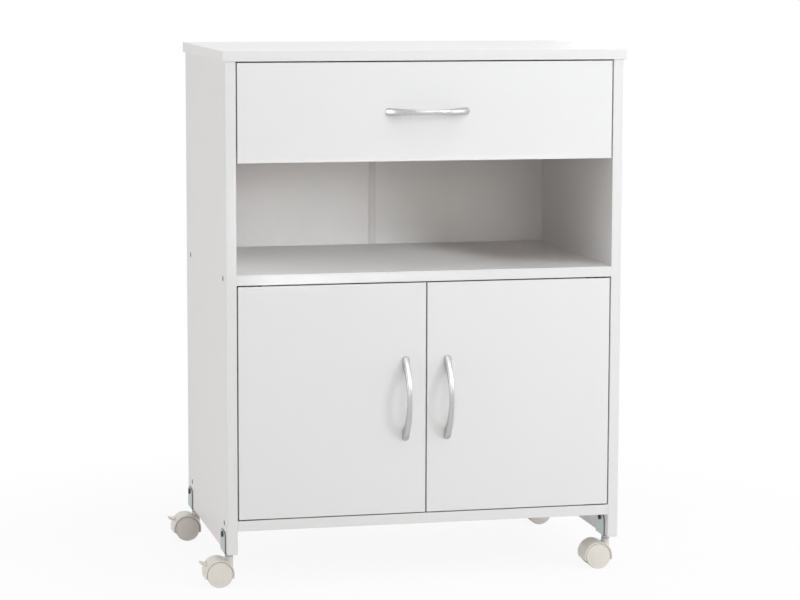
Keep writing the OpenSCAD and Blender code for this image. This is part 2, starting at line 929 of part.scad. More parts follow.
// The screws of the left door's handle and of its pivot plates
module door_screws() {
    at_left_handle()
        bow_screws();
    for (x = pivot_screw_x) {
        translate([left_door_x + x, pivot_y, door_z0])
            pivot_screw();
        translate([left_door_x + x, pivot_y, door_z1])
            mirror([0, 0, 1])
                pivot_screw();
    }
}

// Countersunk screw upwards from z = 0
module pivot_screw() {
    cylinder(d1 = pivot_screw_head_d, d2 = pivot_screw_d, h = pivot_plate_t, $fn = 48);
    cylinder(d = pivot_screw_d, h = pivot_screw_l, $fn = 48);
}

module left_door_screws() {
    color(zinc)
        door_screws();
}

module right_door_screws() {
    color(zinc)
        to_right()
            door_screws();
}

// Doors

module door() {
    difference() {
        translate([left_door_x, front_y, door_z0])
            linear_extrude(door_z1 - door_z0)
                front_plan(door_w);
        for (z = [door_z0 - bleed, door_z1 - pivot_plate_t])
            board([left_door_x - bleed, plate_y - seat, z],
                  [left_door_x + pivot_plate_l + seat, plate_y + pivot_plate_w + seat,
                   z + pivot_plate_t + bleed]);
        for (z = [door_z0 - bleed, door_z1 - pin_bore])
            bar_z([left_door_x + pivot_inset, pivot_y, z], pivot_pin_d + 2 * fit, pin_bore + bleed);
        for (x = pivot_screw_x, z = [door_z0 - bleed, door_z1 - pivot_screw_l - seat])
            bar_z([left_door_x + x, pivot_y, z], pivot_screw_d + 2 * seat, pivot_screw_l + seat + bleed);
        at_left_handle()
            for (x = handle_screw_at)
                bar_y([x, -bleed, 0], handle_screw_d + 2 * seat, board_t + 2 * bleed);
        at_strike()
            bar_y([0, -strike_peg_l - seat, 0], strike_peg_d + 2 * seat, strike_peg_l + seat + bleed);
    }
}

// Plates let into a door's two ends, each with the pin that the door turns on
module pivot_plates() {
    translate([left_door_x, pivot_y, door_z0])
        pivot_plate();
    translate([left_door_x, pivot_y, door_z1])
        mirror([0, 0, 1])
            pivot_plate();
}

// The lower plate, with the door's lower end at z = 0
module pivot_plate() {
    pin_out = front_gap + pin_in_bush;
    difference() {
        board([0, plate_y - pivot_y, 0], [pivot_plate_l, plate_y - pivot_y + pivot_plate_w, pivot_plate_t]);
        for (x = pivot_screw_x)
            translate([x, 0, 0])
                cylinder(d1 = pivot_screw_head_d + 2 * seat, d2 = pivot_screw_d + 2 * seat,
                         h = pivot_plate_t, $fn = 48);
    }
    bar_z([pivot_inset, 0, -pin_out], pivot_pin_d, pin_out + pin_in_door);
}

// Places children at the middle of the strike plate on the back of the left door
module at_strike() {
    translate([left_door_x + door_w - strike_inset - strike_l / 2, behind_front,
               door_z1 - strike_inset - strike_h / 2])
        children();
}

module strike_plate() {
    at_strike() {
        board([-strike_l / 2, 0, -strike_h / 2], [strike_l / 2, strike_t, strike_h / 2]);
        bar_y([0, -strike_peg_l, 0], strike_peg_d, strike_peg_l + strike_t / 2);
    }
}

module left_door() {
    color(white)
        door();
}

module right_door() {
    color(white)
        to_right()
            door();
}

module left_pivot_plates() {
    color(zinc)
        pivot_plates();
}

module right_pivot_plates() {
    color(zinc)
        to_right()
            pivot_plates();
}

module left_strike_plate() {
    color(zinc)
        strike_plate();
}

module right_strike_plate() {
    color(zinc)
        to_right()
            strike_plate();
}

// A flanged bush for a pivot pin, standing on z = 0 with its flange up
module bush() {
    difference() {
        union() {
            bar_z([0, 0, -bush_l], bush_d, bush_l + bush_flange_t);
            bar_z([0, 0, 0], bush_flange_d, bush_flange_t);
        }
        bar_z([0, 0, -bush_l - bleed], pivot_pin_d + 2 * fit, bush_l + bush_flange_t + 2 * bleed);
    }
}

module pivot_bushes() {
    color(nylon)
        at_pivots() {
            translate([0, 0, bottom_z + board_t])
                bush();
            translate([0, 0, shelf_z])
                mirror([0, 0, 1])
                    bush();
        }
}

// Housing of the magnetic catch, pegged into the shelf's underside, and its two magnets
module door_catch() {
    color(nylon)
        difference() {
            union() {
                board([mid_x - catch_l / 2, catch_y, shelf_z - catch_h],
                      [mid_x + catch_l / 2, catch_y + catch_w, shelf_z]);
                for (x = [mid_x - catch_peg_x, mid_x + catch_peg_x])
                    bar_z([x, catch_y + catch_w / 2, shelf_z - bleed], catch_peg_d, catch_peg_l + bleed);
            }
            for (x = [mid_x - catch_l / 4, mid_x + catch_l / 4])
                board([x - magnet_l / 2 - seat, catch_y - bleed, magnet_z - seat],
                      [x + magnet_l / 2 + seat, catch_y + magnet_w + seat, magnet_z + magnet_h + seat]);
        }
}

module catch_magnets() {
    color(dark_steel)
        for (x = [mid_x - catch_l / 4, mid_x + catch_l / 4])
            board([x - magnet_l / 2, catch_y, magnet_z],
                  [x + magnet_l / 2, catch_y + magnet_w, magnet_z + magnet_h]);
}

// Castors. Each is drawn with its stem on the Z axis, the floor at z = 0 and the axle behind it at -X.

module at_stems(xs = [stem_left_x, stem_right_x], ys = [stem_front_y, stem_rear_y]) {
    for (x = xs, y = ys)
        translate([x, y, 0])
            children();
}

module at_axle() {
    translate([-trail, 0, wheel_r])
        rotate([90, 0, 0])
            children();
}

// Sheet steel strip bent into a U round the side panel's lower edge
module bracket() {
    inside = board_t / 2;
    outside = inside + bracket_t;
    difference() {
        union() {
            for (x = [-outside, inside])
                translate([x, 0, foot_z])
                    rotate([90, 0, 90])
                        linear_extrude(bracket_t)
                            bracket_ear();
            board([-outside, -bracket_w / 2, foot_z - bracket_t], [outside, bracket_w / 2, foot_z]);
        }
        bar_z([0, 0, foot_z - bracket_t - bleed], stem_d + 2 * fit, bracket_t + 2 * bleed);
        bar_x([-outside - bleed, 0, foot_z + bracket_screw_z], bracket_screw_d + 2 * seat,
              2 * outside + 2 * bleed);
    }
}

// Outline of an ear, rounded at its upper corners
module bracket_ear() {
    translate([-bracket_w / 2, -bracket_t])
        square([bracket_w, bracket_h + bracket_t - bracket_ear_r]);
    translate([-bracket_w / 2 + bracket_ear_r, 0])
        square([bracket_w - 2 * bracket_ear_r, bracket_h]);
    for (s = [-1, 1])
        translate([s * (bracket_w / 2 - bracket_ear_r), bracket_h - bracket_ear_r])
            circle(r = bracket_ear_r, $fn = 48);
}

module castor_brackets() {
    color(zinc)
        at_stems()
            bracket();
}

// Pan-head screws through the ears into the side panel
module bracket_screws() {
    start = board_t / 2 + bracket_t;
    color(zinc)
        at_stems()
            for (turn = [0, 180])
                rotate([0, 0, turn]) {
                    bar_x([start - bracket_t - bracket_screw_l, 0, foot_z + bracket_screw_z],
                          bracket_screw_d, bracket_screw_l + bracket_t + bracket_screw_head_t / 2);
                    bar_x([start, 0, foot_z + bracket_screw_z], bracket_screw_head_d, bracket_screw_head_t);
                }
}

module castor_stems() {
    color(zinc)
        at_stems() {
            bar_z([0, 0, boss_top - stem_depth], stem_d, foot_z - boss_top + stem_depth);
            bar_z([0, 0, boss_top + near], collar_d, foot_z - bracket_t - boss_top - near);
        }
}

// Half outline of the hood's shell: distance from the axle, then distance along it
function hood_profile(r, crown, half) = [
    for (k = [-4:4])
        let (v = k / 4)
        [r - crown * v * v * v * v, half * v]
];

module hood(with_lever) {
    r = hood_r;
    half = castor_w / 2;
    difference() {
        union() {
            at_axle()
                difference() {
                    rotate_extrude($fn = 96)
                        polygon(concat([[0, -half]], hood_profile(r, hood_crown, half), [[0, half]]));
                    difference() {
                        cylinder(r = r - hood_t, h = castor_w + 2 * bleed, center = true, $fn = 96);
                        cylinder(r = r, h = web_t, center = true, $fn = 96);
                    }
                    hood_opening(r);
                }
            bar_z([0, 0, boss_top - stem_depth - boss_end], boss_d, stem_depth + boss_end);
            at_axle()
                cylinder(d = hub_d, h = web_t, center = true, $fn = 48);
        }
        bar_z([0, 0, boss_top - stem_depth - near], stem_d + 2 * fit, stem_depth + near + bleed);
        at_axle()
            cylinder(d = axle_d + 2 * axle_grip, h = castor_w, center = true, $fn = 48);
        if (with_lever)
            lever_slot();
    }
}

// Everything of the hood's drum below its two tips
module hood_opening(r) {
    drop = r * sin(hood_tip_angle);
    translate([-2 * r, -2 * r - drop, -castor_w])
        cube([4 * r, 2 * r, 2 * castor_w]);
}

// Slot in the hood that a brake lever works in, with the bores of its pin
module lever_slot() {
    at_axle()
        rotate([0, 0, lever_angle]) {
            translate([lever_pin_r, 0, 0])
                cylinder(d = lever_barrel_d + 2 * near, h = lever_w + 2 * near, center = true, $fn = 48);
            translate([lever_pin_r, -lever_barrel_d / 2 - near, -lever_tab_w / 2 - near])
                cube([hood_t, lever_barrel_d + 2 * near + lever_slot_below, lever_tab_w + 2 * near]);
            translate([lever_pin_r, 0, 0])
                cylinder(d = lever_pin_d + 2 * fit, h = lever_w + 2 * lever_pin_end + bleed, center = true,
                         $fn = 32);
        }
}

// Brake pedal: a barrel on a pin, a tab to press and a nose that bears on the wheels
module lever() {
    at_axle()
        rotate([0, 0, lever_angle])
            translate([lever_pin_r, 0, 0]) {
                cylinder(d = lever_pin_d, h = lever_w + 2 * lever_pin_end, center = true, $fn = 32);
                linear_extrude(lever_w, center = true) {
                    circle(d = lever_barrel_d, $fn = 48);
                    rotate(lever_nose_angle - lever_angle)
                        translate([lever_nose_r, 0])
                            circle(d = lever_nose_d, $fn = 32);
                }
                rotate([0, 0, lever_tab_angle - lever_angle])
                    linear_extrude(lever_tab_w, center = true)
                        lever_tab();
            }
}

// Side view of the tab, with its rounded tip
module lever_tab() {
    translate([0, -lever_tab_t / 2])
        square([lever_l - lever_tab_t / 2, lever_tab_t]);
    translate([lever_l - lever_tab_t / 2, 0])
        circle(d = lever_tab_t, $fn = 32);
}

module axle() {
    at_axle()
        cylinder(d = axle_d, h = castor_w - 2 * axle_end, center = true, $fn = 48);
}

// One wheel: a dished disc with a rim and a hub, seen as a half section about the axle
module wheel() {
    r = wheel_r;
    w1 = castor_w / 2;
    w0 = w1 - wheel_w;
    e = wheel_edge;
    g = wheel_groove;
    difference() {
        rotate_extrude($fn = 96)
            polygon([
                [0, web_t / 2 + near],
                [hub_d / 2, web_t / 2 + near],
                [hub_d / 2, w1 - wheel_disc_t - wheel_dome],
                [r - wheel_rim_t, w1 - wheel_disc_t],
                [r - wheel_rim_t, w0],
                [r - e, w0],
                [r - e * 0.3, w0 + e * 0.3],
                [r, w0 + e],
                [r, w1 - e],
                [r - e * 0.3, w1 - e * 0.3],
                [r - e, w1],
                [r - g[0], w1],
                [r - g[1], w1 - wheel_groove_depth],
                [r - g[2], w1 - wheel_groove_depth],
                [r - g[3], w1],
                [wheel_face_r, w1 + wheel_dome],
                [0, w1 + wheel_dome]
            ]);
        translate([0, 0, -bleed])
            cylinder(d = axle_d + 2 * fit, h = w1 - axle_end + near + bleed, $fn = 48);
    }
}

module wheels() {
    at_axle() {
        wheel();
        mirror([0, 0, 1])
            wheel();
    }
}

module at_front_left() {
    at_stems([stem_left_x], [stem_front_y])
        children();
}

module at_front_right() {
    at_stems([stem_right_x], [stem_front_y])
        children();
}

module at_rear_left() {
    at_stems([stem_left_x], [stem_rear_y])
        children();
}

module at_rear_right() {
    at_stems([stem_right_x], [stem_rear_y])
        children();
}

module front_left_hood() {
    color(ivory)
        at_front_left()
            hood(true);
}

module front_left_axle() {
    color(zinc)
        at_front_left()
            axle();
}

module front_left_wheels() {
    color(ivory)
        at_front_left()
            wheels();
}

module front_left_lever() {
    color(ivory)
        at_front_left()
            lever();
}

module front_right_hood() {
    color(ivory)
        at_front_right()
            hood(false);
}

module front_right_axle() {
    color(zinc)
        at_front_right()
            axle();
}

module front_right_wheels() {
    color(ivory)
        at_front_right()
            wheels();
}

module rear_left_hood() {
    color(ivory)
        at_rear_left()
            hood(true);
}

module rear_left_axle() {
    color(zinc)
        at_rear_left()
            axle();
}

module rear_left_wheels() {
    color(ivory)
        at_rear_left()
            wheels();
}

module rear_left_lever() {
    color(ivory)
        at_rear_left()
            lever();
}

module rear_right_hood() {
    color(ivory)
        at_rear_right()
            hood(false);
}

module rear_right_axle() {
    color(zinc)
        at_rear_right()
            axle();
}

module rear_right_wheels() {
    color(ivory)
        at_rear_right()
            wheels();
}

top_panel();
left_side_panel();
right_side_panel();
fixed_shelf();
bottom_panel();
left_back_panel();
right_back_panel();
back_joint_strip();
side_screws();
top_cams();
top_cam_bolts();
dowels();
left_cabinet_runner();
right_cabinet_runner();
runner_screws();
cabinet_rollers();
pivot_bushes();
door_catch();
catch_magnets();
castor_brackets();
bracket_screws();
castor_stems();
drawer_front();
drawer_left_side();
drawer_right_side();
drawer_back();
drawer_bottom();
drawer_cams();
drawer_cam_bolts();
drawer_dowels();
left_drawer_runner();
right_drawer_runner();
drawer_runner_screws();
drawer_rollers();
drawer_handle();
drawer_handle_screws();
left_door();
left_pivot_plates();
left_strike_plate();
left_door_handle();
left_door_screws();
right_door();
right_pivot_plates();
right_strike_plate();
right_door_handle();
right_door_screws();
front_left_hood();
front_left_axle();
front_left_wheels();
front_left_lever();
front_right_hood();
front_right_axle();
front_right_wheels();
rear_left_hood();
rear_left_axle();
rear_left_wheels();
rear_left_lever();
rear_right_hood();
rear_right_axle();
rear_right_wheels();
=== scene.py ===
"""Looks of a white printer cabinet on castors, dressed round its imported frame.

Everything is in metres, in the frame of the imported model: +Z up, -Y the front, z = 0 the floor.
"""

import json
import logging
import math
from collections.abc import Callable
from dataclasses import dataclass, field
from enum import Enum, IntEnum

import bmesh
import bpy
import numpy as np
from mathutils import Matrix, Vector


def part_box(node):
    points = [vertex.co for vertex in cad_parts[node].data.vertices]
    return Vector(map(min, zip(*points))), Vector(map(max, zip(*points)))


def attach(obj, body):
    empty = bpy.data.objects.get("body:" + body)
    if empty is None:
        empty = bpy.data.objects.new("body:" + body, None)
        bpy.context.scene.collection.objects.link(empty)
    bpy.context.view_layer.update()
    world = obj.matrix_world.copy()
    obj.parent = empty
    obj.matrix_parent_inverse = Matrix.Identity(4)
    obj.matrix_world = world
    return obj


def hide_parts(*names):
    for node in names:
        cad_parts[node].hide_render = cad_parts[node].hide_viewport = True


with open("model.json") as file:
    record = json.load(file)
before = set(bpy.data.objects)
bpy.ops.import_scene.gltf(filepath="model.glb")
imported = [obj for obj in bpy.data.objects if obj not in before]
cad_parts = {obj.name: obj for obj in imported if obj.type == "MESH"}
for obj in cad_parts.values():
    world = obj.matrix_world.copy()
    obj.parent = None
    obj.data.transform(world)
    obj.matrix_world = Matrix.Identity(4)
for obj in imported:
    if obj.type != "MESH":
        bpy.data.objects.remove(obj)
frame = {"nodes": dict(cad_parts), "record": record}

LOG = logging.getLogger("printer_cabinet")
MM = 0.001

# How far a handle's feet may reach into the board that they stand on
SEAT = 0.2 * MM
# Area from which a face is flat, also where it meets a neighbour at a shallow angle
BROAD = 400 * MM * MM
# Distance within which two corners are one
WELD = 1e-6
# Angle within which neighbouring faces are joined into one
JOIN_WITHIN = math.radians(0.5)
# Angle within which two faces look the same way
LEVEL_WITHIN = math.radians(0.6)
# Angle past which the edge between two smooth faces stays sharp
SHARP_PAST = math.radians(40.0)
# Steps across a rounded edge, and the profile that makes it part of a circle
ROUNDING_STEPS = 3
ROUNDING_PROFILE = 0.5
# Digits by which the directions of flat faces are told apart
DIRECTION_DIGITS = 3

Colour = tuple[float, float, float]
Point = tuple[float, float, float]
WHITE: Colour = (1.0, 1.0, 1.0)


class Side(Enum):
    """Which half of the cabinet a door belongs to, by the word that its nodes start with."""

    LEFT = "left"
    RIGHT = "right"


class Corner(Enum):
    """The four castors by the words that their nodes start with."""

    FRONT_LEFT = "front_left"
    FRONT_RIGHT = "front_right"
    REAR_LEFT = "rear_left"
    REAR_RIGHT = "rear_right"


class Axis(IntEnum):
    """An axis, as its place in a point."""

    X = 0
    Y = 1
    Z = 2


class Socket(Enum):
    """Types of the sockets of the shared effects."""

    VALUE = "NodeSocketFloat"
    COLOUR = "NodeSocketColor"
    VECTOR = "NodeSocketVector"


# Node trees


# What may go into a socket: another socket, a number or a tuple of numbers.
Feed = bpy.types.NodeSocket | float | tuple[float, ...]
Sockets = dict[str, bpy.types.NodeSocket]


class Graph:
    """A shader node tree with short calls that add nodes and join them.

    A Mix node's colour sockets go by their places, because sockets of other types share their names.
    """

    factor_place: int = 0
    first_place: int = 6
    second_place: int = 7
    mixed_place: int = 2

    def __init__(self, tree: bpy.types.NodeTree) -> None:
        """Wraps the node tree of a material, a world or a group."""
        self.tree = tree

    def add(self, kind: str, inputs: dict[str | int, Feed] | None = None,
            **settings: object) -> bpy.types.Node:
        """Adds a node.

        Args:
            kind: the node's type without its ShaderNode prefix, or in full.
            inputs: socket name or number to a value, or to a socket that is joined to it.
            settings: attributes of the node.

        Returns:
            The new node.
        """
        full = kind if kind.startswith("NodeGroup") else "ShaderNode" + kind
        node = self.tree.nodes.new(full)
        for key, value in settings.items():
            setattr(node, key, value)
        for key, value in (inputs or {}).items():
            self.feed(node.inputs[key], value)
        return node

    def feed(self, socket: bpy.types.NodeSocket, value: Feed) -> None:
        """Joins a socket to value where that is a socket, and otherwise sets it.

        Args:
            socket: the input socket.
            value: what goes into it.
        """
        if isinstance(value, bpy.types.NodeSocket):
            self.tree.links.new(value, socket)
        else:
            socket.default_value = value

    def math(self, operation: str, *values: Feed) -> bpy.types.NodeSocket:
        """Adds a Math node.

        Args:
            operation: its operation, such as MULTIPLY.
            values: its inputs in order, each a number or a socket.

        Returns:
            The node's output socket.
        """
        node = self.add("Math", operation=operation)
        for socket, value in zip(node.inputs, values):
            self.feed(socket, value)
        return node.outputs[0]

    def noise(self, place: Feed, scale: Feed, detail: float) -> bpy.types.NodeSocket:
        """Adds a noise of that scale and detail, and returns the socket of its value."""
        return self.add("TexNoise", {"Vector": place, "Scale": scale, "Detail": detail}).outputs["Fac"]

    def spread(self, value: Feed, start: float, end: float, low: float = 0.0,
               high: float = 1.0) -> bpy.types.NodeSocket:
        """Maps a value in a straight line, and holds it at the ends.

        Args:
            value: the value.
            start: where the line starts.
            end: where it ends.
            low: what comes out at the start.
            high: what comes out at the end.

        Returns:
            The mapped value's socket.
        """
        return self.add("MapRange", {"Value": value, "From Min": start, "From Max": end,
                                     "To Min": low, "To Max": high}).outputs["Result"]

    def mix(self, factor: Feed, first: Feed, second: Feed) -> bpy.types.NodeSocket:
        """Mixes two colours.

        Args:
            factor: 0 for the first colour, 1 for the second; a number or a socket.
            first: a colour or a socket.
            second: a colour or a socket.

        Returns:
            The socket of the mixed colour.
        """
        node = self.add("Mix", data_type="RGBA")
        self.feed(node.inputs[self.factor_place], factor)
        self.feed(node.inputs[self.first_place], first)
        self.feed(node.inputs[self.second_place], second)
        return node.outputs[self.mixed_place]

    def shaders(self, factor: Feed, first: bpy.types.Node, second: bpy.types.Node) -> bpy.types.Node:
        """Mixes two shaders: a factor of 0 is the first, 1 the second. Returns the mixing node."""
        return self.add("MixShader", {0: factor, 1: first.outputs[0], 2: second.outputs[0]})


def effect(name: str, inputs: dict[str, Socket], outputs: dict[str, Socket],
           fill: Callable[[Graph, Sockets], Sockets]) -> bpy.types.NodeTree:
    """Builds a shared effect as a shader node group.

    Args:
        name: the group's name.
        inputs: names and types of its inputs.
        outputs: names and types of its outputs.
        fill: function that takes a Graph and the group's input sockets by name, and returns the
            sockets that go to the outputs, by name.

    Returns:
        The node group.
    """
    tree = bpy.data.node_groups.new(name, "ShaderNodeTree")
    for key, kind in inputs.items():
        tree.interface.new_socket(key, in_out="INPUT", socket_type=kind.value)
    for key, kind in outputs.items():
        tree.interface.new_socket(key, in_out="OUTPUT", socket_type=kind.value)
    graph = Graph(tree)
    entry = graph.add("NodeGroupInput")
    leave = graph.add("NodeGroupOutput")
    made = fill(graph, {key: entry.outputs[key] for key in inputs})
    for key in outputs:
        tree.links.new(made[key], leave.inputs[key])
    return tree


def fill_tone(graph: Graph, given: Sockets) -> Sockets:
    """A colour that drifts: broad clouds and a fine speckle turn it to the drift colour by their shares.

    Args:
        graph: the group's tree.
        given: its inputs.

    Returns:
        The drifted colour.
    """
    cloud = graph.noise(given["Place"], given["Cloud scale"], detail=3.0)
    speck = graph.noise(given["Place"], given["Speck scale"], detail=1.0)
    broad = graph.math("MULTIPLY", cloud, given["Cloud"])
    fine = graph.math("MULTIPLY", speck, given["Speck"])
    return {"Colour": graph.mix(graph.math("ADD", broad, fine), given["Colour"], given["Drift colour"])}


def fill_gloss(graph: Graph, given: Sockets) -> Sockets:
    """A roughness that wanders round its mean with a noise pattern.

    Args:
        graph: the group's tree.
        given: its inputs.

    Returns:
        The roughness.
    """
    noise_mean = 0.5
    noise = graph.noise(given["Place"], given["Scale"], detail=4.0)
    offset = graph.math("SUBTRACT", noise, noise_mean)
    return {"Roughness": graph.math("MULTIPLY_ADD", offset, given["Spread"], given["Mean"])}


def fill_peel(graph: Graph, given: Sockets) -> Sockets:
    """Orange peel: soft round bumps of a pressed or moulded skin, from two octaves of noise.

    Args:
        graph: the group's tree.
        given: its inputs.

    Returns:
        The height of the bumps.
    """
    finer, share = 3.1, 0.35
    coarse = graph.noise(given["Place"], given["Scale"], detail=1.0)
    fine = graph.noise(given["Place"], graph.math("MULTIPLY", given["Scale"], finer), detail=0.0)
    return {"Height": graph.math("MULTIPLY_ADD", fine, share, coarse)}


def fill_lines(graph: Graph, given: Sockets) -> Sockets:
    """Fine drawn lines: noise on stretched coordinates, as a height and as a mask that rises in its middle.

    Args:
        graph: the group's tree.
        given: its inputs.

    Returns:
        The height and the mask.
    """
    start, end = 0.35, 0.65
    noise = graph.noise(given["Place"], given["Scale"], detail=2.0)
    return {"Height": noise, "Mask": graph.spread(noise, start, end)}


def fill_grain(graph: Graph, given: Sockets) -> Sockets:
    """Beech: long pale fibres with short dark flecks, from stretched noise and a stretched Voronoi.

    Args:
        graph: the group's tree.
        given: its inputs.

    Returns:
        The wood's colour.
    """
    fleck_reach, fleck_depth = 0.25, 0.5
    fibre = graph.noise(given["Place"], given["Scale"], detail=5.0)
    fleck = graph.add("TexVoronoi", {"Vector": given["Place"], "Scale": given["Scale"]}).outputs["Distance"]
    dark = graph.spread(fleck, 0.0, fleck_reach, low=fleck_depth, high=0.0)
    return {"Colour": graph.mix(dark, graph.mix(fibre, given["Pale"], given["Warm"]), given["Fleck"])}


class Effects:
    """The shared effects, each built once."""

    def __init__(self) -> None:
        """Builds every group."""
        value, colour, vector = Socket.VALUE, Socket.COLOUR, Socket.VECTOR
        self.tone = effect(
            "Tone drift",
            {"Place": vector, "Colour": colour, "Drift colour": colour, "Cloud": value,
             "Cloud scale": value, "Speck": value, "Speck scale": value},
            {"Colour": colour}, fill_tone)
        self.gloss = effect(
            "Gloss drift", {"Place": vector, "Mean": value, "Spread": value, "Scale": value},
            {"Roughness": value}, fill_gloss)
        self.peel = effect("Orange peel", {"Place": vector, "Scale": value}, {"Height": value}, fill_peel)
        self.lines = effect(
            "Drawn lines", {"Place": vector, "Scale": value}, {"Height": value, "Mask": value}, fill_lines)
        self.grain = effect(
            "Beech grain",
            {"Place": vector, "Scale": value, "Pale": colour, "Warm": colour, "Fleck": colour},
            {"Colour": colour}, fill_grain)


# Finishes


def rgba(colour: Colour) -> tuple[float, float, float, float]:
    """The colour with an alpha of 1."""
    return (*colour, 1.0)


def start_material(name: str) -> tuple[bpy.types.Material, Graph, bpy.types.NodeSocket, bpy.types.Node]:
    """Starts a material.

    Args:
        name: the material's name.

    Returns:
        The material, its graph, the Object coordinate's socket and its Principled shader.
    """
    material = bpy.data.materials.new(name)
    material.use_nodes = True
    graph = Graph(material.node_tree)
    shader = material.node_tree.nodes["Principled BSDF"]
    place = graph.add("TexCoord").outputs["Object"]
    return material, graph, place, shader


@dataclass(frozen=True)
class Skin:
    """A dielectric finish: coated board, powder coat, moulded plastic."""

    name: str
    colour: Colour
    drift: Colour
    roughness: float
    cloud: float = 0.5
    cloud_scale: float = 6.0
    speck: float = 0.3
    speck_scale: float = 900.0
    gloss_spread: float = 0.08
    gloss_scale: float = 25.0
    peel_scale: float = 650.0
    peel_depth: float = 0.03 * MM
    coat: float = 0.0

    def build(self, effects: Effects) -> bpy.types.Material:
        """Makes the material: drifting tone and gloss over a fine pressed relief.

        Args:
            effects: the shared node groups.

        Returns:
            The material.
        """
        material, graph, place, shader = start_material(self.name)
        tone = graph.add("Group", {
            "Place": place, "Colour": rgba(self.colour), "Drift colour": rgba(self.drift),
            "Cloud": self.cloud, "Cloud scale": self.cloud_scale,
            "Speck": self.speck, "Speck scale": self.speck_scale}, node_tree=effects.tone)
        gloss = graph.add("Group", {"Place": place, "Mean": self.roughness, "Spread": self.gloss_spread,
                                    "Scale": self.gloss_scale}, node_tree=effects.gloss)
        peel = graph.add("Group", {"Place": place, "Scale": self.peel_scale}, node_tree=effects.peel)
        bump = graph.add("Bump", {"Height": peel.outputs["Height"], "Strength": 1.0,
                                  "Distance": self.peel_depth})
        graph.feed(shader.inputs["Base Color"], tone.outputs["Colour"])
        graph.feed(shader.inputs["Roughness"], gloss.outputs["Roughness"])
        graph.feed(shader.inputs["Normal"], bump.outputs["Normal"])
        shader.inputs["Coat Weight"].default_value = self.coat
        return material


@dataclass(frozen=True)
class Metal:
    """A bare or plated metal with fine drawn lines."""

    name: str
    colour: Colour
    drift: Colour
    roughness: float
    roughness_spread: float = 0.1
    stretch: Point = (1.0, 1.0, 1.0)
    line_scale: float = 1400.0
    line_depth: float = 0.01 * MM
    cloud: float = 0.6
    cloud_scale: float = 40.0
    speck: float = 0.2

    def build(self, effects: Effects) -> bpy.types.Material:
        """Makes the material: drifting tone, and lines in the relief and the gloss.

        Args:
            effects: the shared node groups.

        Returns:
            The material.
        """
        material, graph, place, shader = start_material(self.name)
        stretched = graph.add("Mapping", {"Vector": place, "Scale": self.stretch}).outputs["Vector"]
        tone = graph.add("Group", {
            "Place": place, "Colour": rgba(self.colour), "Drift colour": rgba(self.drift),
            "Cloud": self.cloud, "Cloud scale": self.cloud_scale,
            "Speck": self.speck, "Speck scale": self.line_scale}, node_tree=effects.tone)
        lines = graph.add("Group", {"Place": stretched, "Scale": self.line_scale}, node_tree=effects.lines)
        rough = graph.math("MULTIPLY_ADD", lines.outputs["Mask"], self.roughness_spread, self.roughness)
        bump = graph.add("Bump", {"Height": lines.outputs["Height"], "Strength": 1.0,
                                  "Distance": self.line_depth})
        graph.feed(shader.inputs["Base Color"], tone.outputs["Colour"])
        graph.feed(shader.inputs["Roughness"], rough)
        graph.feed(shader.inputs["Normal"], bump.outputs["Normal"])
        shader.inputs["Metallic"].default_value = 1.0
        return material


@dataclass(frozen=True)
class Beech:
    """Bare turned beech."""

    name: str
    pale: Colour
    warm: Colour
    fleck: Colour
    scale: float = 900.0
    stretch: Point = (0.08, 1.0, 0.08)
    roughness: float = 0.6

    def build(self, effects: Effects) -> bpy.types.Material:
        """Makes the material: stretched fibres and flecks, with a matt surface.

        Args:
            effects: the shared node groups.

        Returns:
            The material.
        """
        material, graph, place, shader = start_material(self.name)
        stretched = graph.add("Mapping", {"Vector": place, "Scale": self.stretch}).outputs["Vector"]
        grain = graph.add("Group", {
            "Place": stretched, "Scale": self.scale, "Pale": rgba(self.pale), "Warm": rgba(self.warm),
            "Fleck": rgba(self.fleck)}, node_tree=effects.grain)
        graph.feed(shader.inputs["Base Color"], grain.outputs["Colour"])
        shader.inputs["Roughness"].default_value = self.roughness
        return material


